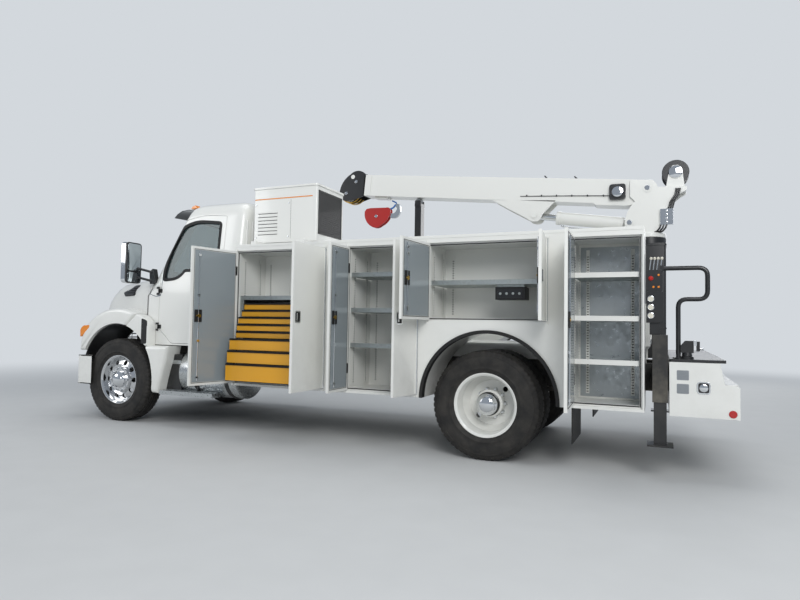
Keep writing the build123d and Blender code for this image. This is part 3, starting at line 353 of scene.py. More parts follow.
repeat_tree = bpy.data.node_groups.new("repeat", "GeometryNodeTree")
for label, kind in (("Part", "NodeSocketObject"), ("Count", "NodeSocketInt"), ("Centre", "NodeSocketVector"),
                    ("Step", "NodeSocketVector"), ("Turn", "NodeSocketVector"),
                    ("Finish", "NodeSocketMaterial")):
    repeat_tree.interface.new_socket(label, in_out="INPUT", socket_type=kind)
repeat_tree.interface.new_socket("Geometry", in_out="OUTPUT", socket_type="NodeSocketGeometry")
given = put(repeat_tree, "NodeGroupInput").outputs
marks = put(repeat_tree, "GeometryNodeMeshLine", {"Count": given["Count"], "Start Location": given["Centre"],
                                                  "Offset": given["Step"]})
number = put(repeat_tree, "GeometryNodeInputIndex")
turned_by = put(repeat_tree, "ShaderNodeVectorMath", {0: given["Turn"], "Scale": number.outputs[0]},
                operation="SCALE")
part_form = put(repeat_tree, "GeometryNodeObjectInfo", {"Object": given["Part"]})
copies = put(repeat_tree, "GeometryNodeInstanceOnPoints", {
    "Points": marks.outputs[0], "Instance": part_form.outputs["Geometry"], "Rotation": turned_by.outputs[0]})
real = put(repeat_tree, "GeometryNodeRealizeInstances", {0: copies.outputs[0]})
painted = put(repeat_tree, "GeometryNodeSetMaterial",
              {"Geometry": real.outputs[0], "Material": given["Finish"]})
put(repeat_tree, "NodeGroupOutput", {0: painted.outputs[0]})


def repeated(name, form, count, centre, finish, body, step=(0, 0, 0), turn=(0, 0, 0)):
    """Many copies of a small form, each one step along and one turn further round, as one plain piece."""
    source = piece(name + "_source", form, [finish], body)
    holder = bpy.data.objects.new(name + "_holder", bpy.data.meshes.new(name + "_holder"))
    bpy.context.scene.collection.objects.link(holder)
    nodes = holder.modifiers.new("repeat", "NODES")
    nodes.node_group = repeat_tree
    for socket in repeat_tree.interface.items_tree:
        values = {"Part": source, "Count": count, "Centre": centre, "Step": step, "Turn": turn,
                  "Finish": finish}
        if socket.in_out == "INPUT":
            nodes[socket.identifier] = values[socket.name]
    bpy.context.view_layer.update()
    data = bpy.data.meshes.new_from_object(holder.evaluated_get(bpy.context.evaluated_depsgraph_get()))
    data.name = name
    made = bpy.data.objects.new(name, data)
    bpy.context.scene.collection.objects.link(made)
    for helper in (holder, source):
        bpy.data.objects.remove(helper)
    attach(made, body)
    return made


# Tyres: steel-belted truck tyres of black rubber with four deep grooves, notched shoulders and
# moulded rings on the walls. The rear axle carries them in pairs.
sides = ((1, "left"), (-1, "right"))
axle_z = 0.512
front_axle_x = 4.71


def worn_rubber():
    """Moulded rubber: near black, greyed and browned by road dust, rough, with fine moulding grain."""
    made, tree, place, surface = new_finish("worn_rubber")
    cloud = put(tree, "ShaderNodeTexNoise", {"Vector": place, "Scale": 9.0, "Detail": 8, "Roughness": 0.65})
    spread = put(tree, "ShaderNodeMapRange", {0: cloud.outputs["Fac"], 1: 0.38, 2: 0.7})
    shade = put(tree, "ShaderNodeMix", {
        "Factor": spread.outputs[0], 6: linear("#1a1918"), 7: linear("#34312d")}, data_type="RGBA")
    grain = put(tree, "ShaderNodeTexNoise", {"Vector": place, "Scale": 400.0, "Detail": 3})
    relief = put(tree, "ShaderNodeBump", {"Height": grain.outputs["Fac"], "Strength": 0.25,
                                          "Distance": 0.001})
    feed(tree, surface, {"Base Color": shade.outputs[2], "Roughness": 0.72, "Normal": relief.outputs[0]})
    return made


rubber = worn_rubber()
half_tyre = [
    (0.2865, 0.098), (0.302, 0.113), (0.309, 0.1165), (0.313, 0.1165), (0.318, 0.121), (0.340, 0.1295),
    (0.342, 0.1325), (0.348, 0.1330), (0.351, 0.1315), (0.378, 0.1375), (0.405, 0.1395), (0.430, 0.1385),
    (0.452, 0.134), (0.454, 0.1365), (0.461, 0.1355), (0.464, 0.1315), (0.482, 0.125), (0.497, 0.118),
    (0.507, 0.110), (0.5105, 0.100), (0.511, 0.068), (0.499, 0.065), (0.499, 0.056), (0.5115, 0.053),
    (0.512, 0.024), (0.499, 0.021), (0.499, 0.011), (0.512, 0.008),
]
half_notched = [
    (r - (0.009 if 0.095 < y < 0.126 and r > 0.48 else 0.003 if y < 0.095 and r > 0.505 else 0), y)
    for r, y in half_tyre]
for node, (x, ys) in {
    "front_tyre_left": (front_axle_x, (1.01,)), "front_tyre_right": (front_axle_x, (-1.01,)),
    "rear_tyres_left": (0.0, (1.045, 0.715)), "rear_tyres_right": (0.0, (-1.045, -0.715)),
}.items():
    form = bmesh.new()
    for y in ys:
        rows, notched = (half + [(r, -along) for r, along in half[::-1]]
                         for half in (half_tyre, half_notched))
        lathe(form, (x, y, axle_z), rows, "Y", 0, 240, notched)
    stand_in(node, form, [rubber], crease=40)


# Wheels: forged and polished aluminium in front, dished white steel pairs behind, each with a
# bright hub cover and a ring of ten capped nuts.


def polished(name, hex_colour, roughness, grime="#6f6b64", grime_amount=0.0):
    """Bare metal: bright, with fine polishing marks that vary its gloss and a little grime in patches."""
    made, tree, place, surface = new_finish(name)
    rub = put(tree, "ShaderNodeTexNoise", {"Vector": place, "Scale": 30.0, "Detail": 5})
    gloss = put(tree, "ShaderNodeMapRange", {0: rub.outputs["Fac"], 1: 0.3, 2: 0.7, 3: roughness * 0.7,
                                             4: roughness * 1.5})
    soil = put(tree, "ShaderNodeMapRange", {0: rub.outputs["Fac"], 1: 0.5, 2: 0.75, 3: 0.0, 4: grime_amount})
    shade = put(tree, "ShaderNodeMix", {"Factor": soil.outputs[0], 6: linear(hex_colour), 7: linear(grime)},
                data_type="RGBA")
    feed(tree, surface, {"Base Color": shade.outputs[2], "Metallic": 1.0, "Roughness": gloss.outputs[0]})
    return made


polished_alloy = polished("polished_alloy", "#d7d8d9", 0.14)
chrome = polished("bright_chrome", "#dfe1e3", 0.06)
black_enamel = enamel("black_enamel", "#17181a", 0.35, coat=0.3, dust=0.1)
for side, side_name in sides:
    dressed(f"front_wheel_{side_name}", [polished_alloy], 0.0)
    dressed(f"rear_wheels_{side_name}", [white_enamel], 0.0)
    for axle, x, hub_y, face_y, body in (
        ("front", front_axle_x, 1.128, 1.071, f"front_wheel_{side_name}_body"),
        ("rear", 0.0, 1.085, 0.894, f"rear_wheel_{side_name}"),
    ):
        cover = bmesh.new()
        cap = [(0.101, -0.06), (0.103, 0.0), (0.099, 0.006), (0.086, 0.012), (0.078, 0.024), (0.060, 0.036),
               (0.030, 0.043), (0.0, 0.045)]
        collar = [(0.106, -0.075), (0.112, -0.07), (0.112, -0.045), (0.104, -0.04)]
        for finish, section in enumerate((cap, collar)):
            outward = [(radius, along * side) for radius, along in section]
            lathe(cover, (x, side * hub_y, axle_z), outward, finish=finish, segments=48)
        piece(f"{axle}_hub_cover_{side_name}", cover, [chrome, black_enamel], body)
        nut = bmesh.new()
        lathe(nut, (0.136, 0, 0), [
            (0.019, 0.0), (0.019, side * 0.012), (0.0145, side * 0.016), (0.0145, side * 0.046),
            (0.010, side * 0.053), (0.0, side * 0.054)], segments=12)
        repeated(f"{axle}_nuts_{side_name}", nut, 10, (x, side * face_y, axle_z), chrome, body,
                 turn=(0, math.radians(36), 0))


# Cab: one pressed shell with a raked windscreen and a round roof, cut for two doors and the
# windows. The doors are cut from the same shell, so their skins run on from it.


def between(rows, place):
    """The row at a place, worked out between its neighbours in the table."""
    for first, second in zip(rows, rows[1:]):
        if place <= second[0] or second is rows[-1]:
            share = min(1.0, max(0.0, (place - first[0]) / (second[0] - first[0])))
            return [a + (b - a) * share for a, b in zip(first, second)]


# Height, rear, front, half width, and how far the front corner turns back and in
cab_rows = [
    (0.960, 2.970, 4.478, 1.050, 0.175, 0.09), (1.559, 2.970, 4.478, 1.050, 0.175, 0.09),
    (1.719, 2.970, 4.448, 1.037, 0.25, 0.29), (2.500, 2.970, 4.029, 0.948, 0.21, 0.26),
    (2.580, 2.977, 3.984, 0.932, 0.21, 0.26), (2.630, 2.992, 3.950, 0.908, 0.21, 0.25),
    (2.665, 3.015, 3.910, 0.868, 0.21, 0.24), (2.690, 3.050, 3.850, 0.810, 0.21, 0.22),
    (2.708, 3.100, 3.760, 0.720, 0.2, 0.2), (2.719, 3.170, 3.640, 0.580, 0.15, 0.15),
    (2.724, 3.260, 3.480, 0.380, 0.1, 0.1),
]


def cab_shell(inset):
    """The cab's outer form, or a smaller one inset from it all round, as one closed form."""
    form = bmesh.new()
    rings = []
    for z, rear, front, half, back, turn_in in cab_rows:
        z = z + inset if z < 1 else z - inset if z > 2.6 else z
        rear, front, half = rear + inset, front - inset, half - inset
        bow = min(0.09, back / 2)
        start, end = (front - back, half), (front - bow, half - turn_in)
        bend = (front - back + 0.6 * (back - bow), half)
        run = [(rear, (half - 0.09) * i / 3) for i in range(4)]
        run += [(rear + 0.09 - 0.09 * math.cos(a), half - 0.09 + 0.09 * math.sin(a))
                for a in (math.pi * i / 10 for i in range(1, 6))]
        run += [(rear + 0.09 + (start[0] - rear - 0.09) * i / 8, half) for i in range(1, 9)]
        for t in (i / 8 for i in range(1, 9)):
            run.append(tuple((1 - t) ** 2 * a + 2 * t * (1 - t) * b + t * t * c
                             for a, b, c in zip(start, bend, end)))
        run += [(front - bow * (1 - i / 8) ** 2, (half - turn_in) * (1 - i / 8)) for i in range(1, 8)]
        loop = run + [(front, 0.0)] + [(x, -y) for x, y in run[::-1] if y > 0]
        rings.append([form.verts.new((x, y, z)) for x, y in loop])
    skinned(form, rings)
    form.faces.new(rings[0])
    form.faces.new(rings[-1])
    bmesh.ops.recalc_face_normals(form, faces=form.faces)
    return form


def cab_layer(outer, inner):
    """A layer of the cab, between two depths under its outer form."""
    return carved(cab_shell(outer), cab_shell(inner))


def on_cab(x, z):
    """The half width of the cab's flank at a place along the truck and a height."""
    _, rear, front, half, back, turn_in = between(cab_rows, z)
    past = max(0.0, x - (front - back)) / max(back - 0.09, 0.01)
    return half - turn_in * min(past, 1.3) ** 2


def softened(points, radius, steps=4):
    """An outline's points with each corner rounded."""
    made = []
    for i, corner in enumerate(points):
        corner = Vector(corner)
        before, after = Vector(points[i - 1]) - corner, Vector(points[(i + 1) % len(points)]) - corner
        first = corner + before.normalized() * min(radius, before.length * 0.45)
        last = corner + after.normalized() * min(radius, after.length * 0.45)
        made += [tuple((1 - t) ** 2 * first + 2 * t * (1 - t) * corner + t * t * last)
                 for t in (k / steps for k in range(steps + 1))]
    return made


def grown(points, distance):
    """An outline's points moved outwards by a distance, or inwards by a negative one."""
    points = [Vector(p) for p in points]
    area = sum(a.x * b.y - a.y * b.x for a, b in zip(points, points[1:] + points[:1]))
    made = []
    for i, point in enumerate(points):
        ways = [(point - points[i - 1]).normalized(), (points[(i + 1) % len(points)] - point).normalized()]
        outs = [Vector((way.y, -way.x)) * (1 if area > 0 else -1) for way in ways]
        middle = outs[0] + outs[1]
        made.append(tuple(point + middle * distance / max(0.5, 1 + outs[0].dot(outs[1]))))
    return made


def front_slab(points, x_low, x_high):
    """An outline seen from the front, made solid along the truck."""
    form = bmesh.new()
    slab(form, points, x_low, x_high)
    for vert in form.verts:
        vert.co = Vector((vert.co.y, vert.co.x, vert.co.z))
    bmesh.ops.recalc_face_normals(form, faces=form.faces)
    return form


def plan_slab(points, z_low, z_high):
    """An outline seen from above, made solid from one height to another."""
    form = bmesh.new()
    slab(form, points, z_low, z_high)
    for vert in form.verts:
        vert.co = Vector((vert.co.x, vert.co.z, vert.co.y))
    bmesh.ops.recalc_face_normals(form, faces=form.faces)
    return form


def side_slab(points, y_low, y_high):
    """An outline seen from the side, made solid across the truck, as a form of its own."""
    form = bmesh.new()
    slab(form, points, y_low, y_high)
    return form


def carved(form, tool, operation="DIFFERENCE"):
    """One closed form cut by another, joined to it, or kept only inside it."""
    held = []
    for shape in (form, tool):
        data = bpy.data.meshes.new("carving")
        shape.to_mesh(data)
        shape.free()
        held.append(bpy.data.objects.new("carving", data))
        bpy.context.scene.collection.objects.link(held[-1])
    cut = held[0].modifiers.new("cut", "BOOLEAN")
    cut.operation = operation
    cut.object = held[1]
    cut.solver = "EXACT"
    bpy.context.view_layer.update()
    made = bmesh.new()
    made.from_mesh(held[0].evaluated_get(bpy.context.evaluated_depsgraph_get()).data)
    for helper in held:
        bpy.data.objects.remove(helper)
    return made


def added(form, other):
    """Adds one form's faces to another."""
    data = bpy.data.meshes.new("joining")
    other.to_mesh(data)
    other.free()
    form.from_mesh(data)
    return form


# This black rubber finish also serves as painted shade in the slots of the shelf tracks.
black_rubber_and_slot_shade = enamel("black_seal_rubber_and_slot_shade", "#141414", 0.62, dust=0.05)
glass_finish, tree, place, surface = new_finish("tinted_glass")
ripple = put(tree, "ShaderNodeTexNoise", {"Vector": place, "Scale": 1.2, "Detail": 1})
waves = put(tree, "ShaderNodeBump", {"Height": ripple.outputs["Fac"], "Strength": 0.03, "Distance": 0.01})
feed(tree, surface, {"Base Color": linear("#8fa6a8"), "Roughness": 0.02, "Transmission Weight": 0.88,
                     "IOR": 1.45, "Normal": waves.outputs[0]})

door_edge = traced([
    (3.23, 1.01), (3.23, 2.51), (3.46, 2.53), ((3.71, 2.515), (3.92, 2.455)), ((4.065, 2.23), (4.148, 1.95)),
    (4.148, 1.165), (3.94, 0.985), (3.27, 0.985),
])
pane_edge = softened(traced([
    (3.31, 1.868), (3.31, 2.43), (3.55, 2.455), ((3.72, 2.45), (3.87, 2.40)), ((4.01, 2.16), (4.105, 1.83)),
    (4.10, 1.755), (3.97, 1.765), ((3.87, 1.795), (3.79, 1.868)),
]), 0.035)
cab_skin, glass_layer, seal_layer = (0.0, 0.045), (0.018, 0.024), (-0.003, 0.03)
screen_edge = softened([(-0.80, 1.87), (0.80, 1.87), (0.715, 2.52), (-0.715, 2.52)], 0.09, 6)
rear_edge = softened(rectangle(-0.60, 1.90, 0.60, 2.35), 0.07, 6)
jamb_in, jamb_out = 0.856, 1.2
door_hinge_x, door_hinge_y, hinge_heights = 4.1525, 1.059, (1.18, 1.62)
cab = cab_layer(*cab_skin)
for side in (1, -1):
    cab = carved(cab, side_slab(softened(grown(door_edge, 0.005), 0.02), side * jamb_in,
                                side * jamb_out))
cab = carved(cab, front_slab(screen_edge, 3.70, 4.60))
cab = carved(cab, front_slab(rear_edge, 2.90, 3.10))
for x in (3.15, 4.05):
    for side in (1, -1):
        box(cab, (x, side * 0.35, 0.92), (x + 0.12, side * 0.43, 0.975))
for side in (1, -1):
    for hinge_z in hinge_heights:
        for low in (-0.05, 0.025):
            tube(cab, [(door_hinge_x, side * door_hinge_y, hinge_z + low),
                       (door_hinge_x, side * door_hinge_y, hinge_z + low + 0.025)], 0.008, 1)
            box(cab, (door_hinge_x, side * 1.046, hinge_z + low),
                (4.195, side * 1.054, hinge_z + low + 0.025), 1)
for rib in (-9, -8, -7, 7, 8, 9):
    box(cab, (2.963, rib * 0.1 - 0.012, 1.15), (2.975, rib * 0.1 + 0.012, 2.45))
stand_in("cab", cab, [white_enamel, black_enamel], crease=28)

glazing = carved(cab_layer(*glass_layer), front_slab(grown(screen_edge, -0.0005), 3.70, 4.60), "INTERSECT")
rear_glass = carved(cab_layer(*glass_layer), front_slab(grown(rear_edge, -0.0005), 2.90, 3.10), "INTERSECT")
stand_in("cab_glass", added(glazing, rear_glass), [glass_finish], crease=28)
seal = carved(cab_layer(*seal_layer), front_slab(grown(screen_edge, 0.02), 3.70, 4.60), "INTERSECT")
seal = carved(seal, front_slab(grown(screen_edge, -0.012), 3.60, 4.70))
rear_seal = carved(cab_layer(*seal_layer), front_slab(grown(rear_edge, 0.02), 2.90, 3.10), "INTERSECT")
added(seal, carved(rear_seal, front_slab(grown(rear_edge, -0.012), 2.80, 3.20)))
piece("cab_window_seals", seal, [black_rubber_and_slot_shade], "truck")

for side, side_name in sides:
    near, far = side * jamb_in, side * jamb_out
    leaf = carved(cab_layer(*cab_skin), side_slab(softened(door_edge, 0.02), near, far), "INTERSECT")
    leaf = carved(leaf, side_slab(pane_edge, side * 0.5, side * 1.3))
    pane = carved(cab_layer(*glass_layer), side_slab(grown(pane_edge, -0.0005), side * 0.5, far),
                  "INTERSECT")
    frame_seal = carved(cab_layer(-0.004, 0.03), side_slab(grown(pane_edge, 0.022), near, far), "INTERSECT")
    frame_seal = carved(frame_seal, side_slab(grown(pane_edge, -0.014), side * 0.5, side * 1.3))
    added(added(leaf, coloured(pane, 1)), coloured(frame_seal, 2))
    for hinge_z in hinge_heights:
        tube(leaf, [(door_hinge_x, side * door_hinge_y, hinge_z - 0.024),
                    (door_hinge_x, side * door_hinge_y, hinge_z + 0.024)], 0.008, 2)
        box(leaf, (4.108, side * 1.046, hinge_z - 0.024), (door_hinge_x, side * 1.054, hinge_z + 0.024), 2)
    grip = softened(rectangle(3.27, 1.60, 3.43, 1.66), 0.02)
    slab(leaf, grip, side * 1.035, side * 1.053, 2)
    slab(leaf, softened(rectangle(3.29, 1.615, 3.41, 1.645), 0.01), side * 1.05, side * 1.064, 3)
    seam = [(x, side * (on_cab(x, z) + 0.001), z)
            for x, z in ((3.36, 1.06), (3.36, 1.75), (3.42, 1.82), (3.75, 1.82))]
    tube(leaf, seam, 0.0025, 0, 6)
    stand_in(f"cab_door_{side_name}", leaf, [white_enamel, glass_finish, black_rubber_and_slot_shade, chrome], crease=28)

# Seats, dashboard and steering wheel in black and grey moulded plastic and cloth.
plastic = enamel("interior_plastic", "#33363a", 0.6, dust=0.0)
dressed("cab_interior", [plastic], 0.03)

# Hood: one moulded nose with its wings, which tips forward at the bumper. Its side carries a
# black vent, the wing an amber lamp, and the nose a barred grille with two headlamps.

# Place, half width, top of the side, shoulder's run in, shoulder's height, crown
hood_rows = [
    (4.310, 1.050, 1.560, 0.30, 1.795, 1.875), (4.510, 0.990, 1.560, 0.26, 1.790, 1.860),
    (5.050, 0.830, 1.580, 0.17, 1.735, 1.790), (5.170, 0.795, 1.540, 0.16, 1.690, 1.748),
    (5.250, 0.770, 1.500, 0.15, 1.640, 1.700), (5.340, 0.735, 1.440, 0.14, 1.570, 1.632),
    (5.400, 0.705, 1.375, 0.13, 1.500, 1.560), (5.445, 0.675, 1.300, 0.12, 1.420, 1.480),
    (5.475, 0.650, 1.220, 0.10, 1.330, 1.390),
]


def hood_shell(inset, low):
    """The nose between its wings, from the windscreen to the grille, as one closed form."""
    form = bmesh.new()
    rings = []
    places = sorted({row[0] for row in hood_rows} | {4.31 + 0.1 * i for i in range(12)})
    for x in places:
        _, half, side_top, run_in, shoulder, crown = between(hood_rows, x)
        half, shoulder, crown = half - inset, shoulder - inset, crown - inset
        run = [(half, low), (half, (low + side_top) / 2), (half, side_top)]
        run += [(half - run_in * (1 - math.cos(a)), side_top + (shoulder - side_top) * math.sin(a))
                for a in (math.pi * i / 16 for i in range(1, 8))]
        run += [((half - run_in) * (1 - i / 9), shoulder + (crown - shoulder) * (1 - (1 - i / 9) ** 2))
                for i in range(0, 9)]
        loop = run + [(0.0, crown)] + [(-y, z) for y, z in run[::-1]]
        x = min(x, 5.475 - inset) if x > 4.4 else x - 2 * inset
        rings.append([form.verts.new((x, y, z)) for y, z in loop])
    skinned(form, rings)
    form.faces.new(rings[0])
    form.faces.new(rings[-1])
    bmesh.ops.recalc_face_normals(form, faces=form.faces)
    return form


def on_hood(x, z):
    """The half width of the hood at a place along the truck and a height."""
    _, half, side_top, run_in, shoulder, crown = between(hood_rows, x)
    rise = min(0.98, max(0.0, (z - side_top) / (shoulder - side_top)))
    return half - run_in * (1 - math.sqrt(1 - rise * rise))


def cushion(form, points, y_inner, y_outer, radius, finish=0):
    """An outline seen from the side, made solid, with its outer edge rolled over."""
    way = 1 if y_outer > y_inner else -1
    loops = [(y_inner, 0.0)] + [(y_outer - way * radius * (1 - math.sin(a)), radius * (1 - math.cos(a)))
                                for a in (math.pi * i / 12 for i in range(7))]
    rings = [[form.verts.new((x, y, z)) for x, z in grown(points, -inset)] for y, inset in loops]
    faces = [form.faces.new(rings[0]), form.faces.new(rings[-1])] + skinned(form, rings)
    for face in faces:
        face.material_index = finish
    bmesh.ops.recalc_face_normals(form, faces=faces)


def wheel_well():
    """The space round the front wheels, an ellipse across the whole truck."""
    half_length, height = 0.62, 0.70
    points = [(front_axle_x + half_length * math.cos(a), axle_z + height * math.sin(a))
              for a in (2 * math.pi * i / 64 for i in range(64))]
    return side_slab(points, -1.3, 1.3)


wing_edge = traced([
    (4.554, 1.190), (4.39, 1.335), ((4.84, 1.394), (5.24, 1.190)), ((5.318, 1.035), (5.345, 0.861)),
    (5.10, 0.861), (4.72, 1.00),
])
amber_edge = softened(traced([(5.165, 1.185), (5.235, 1.180), ((5.315, 1.150), (5.335, 1.115)), (5.33, 1.03),
                              (5.28, 1.06), (5.175, 1.150)]), 0.012)
hood = carved(carved(hood_shell(0.0, 0.85), hood_shell(0.012, 0.80)), wheel_well())
hood = carved(hood, cab_shell(-0.006))
for side in (1, -1):
    wing = bmesh.new()
    cushion(wing, wing_edge, side * 0.60, side * 1.188, 0.05)
    hood = added(hood, carved(wing, wheel_well()))
hood = carved(hood, front_slab([(-0.5, 0.93), (0.5, 0.93), (0.47, 1.29), (-0.47, 1.29)], 5.40, 5.60))
for number in range(7):
    box(hood, (5.452, -0.5, 0.955 + number * 0.05), (5.470, 0.5, 0.971 + number * 0.05), 1)
for y in (-0.25, 0.0, 0.25):
    box(hood, (5.450, y - 0.005, 0.93), (5.462, y + 0.005, 1.29), 1)
for side in (1, -1):
    cushion(hood, amber_edge, side * 1.10, side * 1.1895, 0.006, 2)
    liner = [(front_axle_x + reach * math.cos(a), axle_z + (reach + 0.08) * math.sin(a))
             for reach, turns in ((0.615, range(2, 33)), (0.605, range(32, 1, -1)))
             for a in (math.pi * i / 48 for i in turns)]
    slab(hood, liner, side * 0.64, side * 1.15, 3)
    lamp = softened([(side * 0.66, 0.94), (side * 1.10, 0.96), (side * 1.12, 1.10), (side * 0.80, 1.13),
                     (side * 0.66, 1.10)], 0.03)
    added(hood, front_slab(lamp, 5.25, 5.352))
    vent = softened([(4.962, 1.612), (4.72, 1.708), (4.619, 1.706), (4.673, 1.568), (4.914, 1.561)], 0.02)
    for rim, depth in ((vent, 0.006), (grown(vent, -0.012), 0.009)):
        loops = [[hood.verts.new((x, side * (on_hood(x, z) + out), z)) for x, z in rim]
                 for out in (-0.02, depth)]
        faces = [hood.faces.new(loops[1])] + skinned(hood, loops)
        for face in faces:
            face.material_index = 3
        bmesh.ops.recalc_face_normals(hood, faces=faces)
    for slat in range(4):
        z = 1.585 + slat * 0.028
        ends = (4.69 - slat * 0.012, 4.915 - slat * 0.055)
        tube(hood, [(x, side * (on_hood(x, z) + 0.012), z) for x in (ends[0], sum(ends) / 2, ends[1])],
             0.006, 3, 6)
amber, tree, place, surface = new_finish("amber_lens")
flute = put(tree, "ShaderNodeTexWave", {"Vector": place, "Scale": 60.0})
relief = put(tree, "ShaderNodeBump", {"Height": flute.outputs["Fac"], "Strength": 0.2, "Distance": 0.001})
feed(tree, surface, {"Base Color": linear("#e8871c"), "Roughness": 0.12, "Coat Weight": 0.6,
                     "Normal": relief.outputs[0]})
stand_in("hood", hood, [white_enamel, chrome, amber, black_enamel], crease=28)

# Splash panels behind the front wheels, the step box with its tread, the tank and its straps.
# The panel's stepped rear edge and its dark recess follow the photograph.
tread_alloy = polished("tread_plate", "#b9bcbd", 0.3, grime_amount=0.5)
brushed_tank = polished("brushed_tank", "#c3c6c7", 0.22, grime_amount=0.3)
wing_end = [(4.550, 1.184), (4.384, 1.328), (4.365, 1.330), ((4.27, 1.290), (4.19, 1.180)), (4.19, 0.945),
            (4.61, 0.945)]
flank = [(4.19, 0.95), (3.865, 0.95), (3.904, 0.768), ((3.97, 0.56), (4.008, 0.386)), (4.094, 0.386),
         (4.21, 0.50), (4.27, 0.95)]
steps = bmesh.new()
for side in (1, -1):
    for edge, inner, radius in ((wing_end, 1.056, 0.02), (flank, 0.96, 0.045)):
        part = bmesh.new()
        cushion(part, traced(edge), side * inner, side * 1.188, radius)
        added(steps, carved(part, wheel_well()))
    box(steps, (3.17, side * 0.96, 0.38), (3.96, side * 1.195, 0.428), 1)
    slab(steps, softened([(4.20, 0.97), (4.285, 0.97), (4.285, 1.28), (4.20, 1.25)], 0.02),
         side * 1.18, side * 1.1895, 4)
    box(steps, (3.765, side * 0.43, 0.414), (4.004, side * 1.04, 0.85), 2)
    tube(steps, [(3.955, side * 1.0, 0.85), (3.955, side * 1.0, 0.905)], 0.038, 3, 24)
    box(steps, (3.778, side * 0.90, 0.735), (4.032, side * 1.045, 0.779), 1)
    for x in (3.03, 3.48):
        box(steps, (x, side * 0.43, 0.70), (x + 0.05, side * 0.60, 0.78), 2)
        lathe(steps, (x, side * 0.82, 0.64), rectangle(0.288, 0.0, 0.297, 0.05), "X", 2, 64)
    lathe(steps, (0, side * 0.82, 0.64), [
        (0.0, 2.92), (0.26, 2.922), (0.284, 2.935), (0.290, 2.95), (0.290, 3.735), (0.284, 3.75),
        (0.26, 3.758), (0.0, 3.76)], "X", 1, 64)
blue_cap = enamel("blue_cap", "#1d4f9c", 0.4, dust=0.0)
stand_in("steps", steps, [white_enamel, brushed_tank, black_enamel, blue_cap, black_rubber_and_slot_shade], crease=30)
lug = plan_slab([(-0.011, 0), (0, 0.004), (0.011, 0), (0, -0.004)], -0.001, 0.0015)
bmesh.ops.rotate(lug, matrix=Matrix.Rotation(math.radians(45), 3, "Z"), verts=lug.verts)
for side, side_name in sides:
    for row in range(6):
        repeated(f"step_tread_{side_name}_{row}", lug.copy(), 38,
                 (3.19, side * (0.985 + row * 0.036), 0.4285), tread_alloy, "truck",
                 step=(0.02, 0, 0), turn=(0, 0, math.radians(90)))
lug.free()

# Mirrors on two arms each, and the tinted sun visor over the windscreen.
mirror_glass = polished("mirror_glass", "#c9d2d6", 0.02)
smoked, tree, place, surface = new_finish("smoked_visor")
haze = put(tree, "ShaderNodeTexNoise", {"Vector": place, "Scale": 8.0, "Detail": 3})
rough = put(tree, "ShaderNodeMapRange", {0: haze.outputs["Fac"], 3: 0.04, 4: 0.12})
feed(tree, surface, {"Base Color": linear("#1c2426"), "Roughness": rough.outputs[0],
                     "Transmission Weight": 0.35})
mirrors = bmesh.new()
mirror_y, mirror_z = 1.211, 1.955
for side in (1, -1):
    shell = softened([(side * (mirror_y + a * 0.117), mirror_z + b * 0.252)
                      for a, b in ((-1, -1), (1, -1), (1, 1), (-1, 1))], 0.05, 6)
    for x_low, x_high, inset, finish in ((4.435, 4.50, 0.0, 0), (4.50, 4.525, 0.02, 0),
                                         (4.415, 4.436, 0.004, 1)):
        part = front_slab(grown(shell, -inset), x_low, x_high)
        added(mirrors, coloured(part, finish))
    for low, high in ((1.86, 2.19), (1.72, 1.84)):
        lens_edge = softened([(side * (mirror_y + a * 0.097), (low + high) / 2 + b * (high - low) / 2)
                              for a, b in ((-1, -1), (1, -1), (1, 1), (-1, 1))], 0.03)
        added(mirrors, coloured(front_slab(lens_edge, 4.411, 4.42), 2))
    for arm_z in (1.79, 1.90):
        tube(mirrors, [(4.47, side * 1.19, arm_z), (4.40, side * 1.15, arm_z - 0.01),
                       (4.27, side * 1.055, arm_z - 0.05)], 0.015, 1)
    slab(mirrors, softened([(4.21, 1.72), (4.30, 1.70), (4.31, 1.86), (4.25, 1.90)], 0.02),
         side * 1.0, side * 1.066, 1)
visor_rows = []
for i in range(17):
    y = -0.86 + 1.72 * i / 16
    droop = 0.09 * (abs(y) / 0.86) ** 2.5
    visor_rows.append([(4.275 - droop * 1.6, y, 2.60 - droop * 0.5),
                       (4.21 - droop * 1.4, y, 2.635 - droop * 0.4),
                       (4.10 - droop, y, 2.67 - droop * 0.4), (3.99 - droop, y, 2.69 - droop * 0.5)])
for thickness in (0.0, -0.006):
    grid = [[mirrors.verts.new((x, y, z + thickness)) for x, y, z in row] for row in visor_rows]
    for first, second in zip(grid, grid[1:]):
        for i in range(3):
            mirrors.faces.new((first[i], first[i + 1], second[i + 1], second[i])).material_index = 3
for y in (-0.55, 0.0, 0.55):
    tube(mirrors, [(4.10, y, 2.655), (3.97, y, 2.62)], 0.012, 1)
stand_in("mirrors", mirrors, [chrome, black_enamel, mirror_glass, smoked], 0.002)
roof_lamp = bmesh.new()
for y in (-0.75, -0.3, 0.0, 0.3, 0.75):
    slab(roof_lamp, softened([(3.84, 2.675), (3.94, 2.665), (3.92, 2.70), (3.86, 2.715)], 0.015),
         y - 0.035, y + 0.035)
piece("roof_lamps", roof_lamp, [amber], "truck", 0.004)
trim = bmesh.new()
for side in (1, -1):
    base = softened([(4.159, 2.034), (4.236, 1.893), (4.116, 1.764), (4.128, 1.559), (4.2, 1.547),
                     (4.306, 1.576)], 0.015)
    loops = [[trim.verts.new((x, side * (on_cab(x, z) + out), z)) for x, z in base] for out in (-0.01, 0.003)]
    faces = [trim.faces.new(loops[1])] + skinned(trim, loops)
    bmesh.ops.recalc_face_normals(trim, faces=faces)
pillar_grey = enamel("pillar_grey", "#6a737b", 0.35, dust=0.0)
piece("pillar_panels", trim, [pillar_grey], "truck")


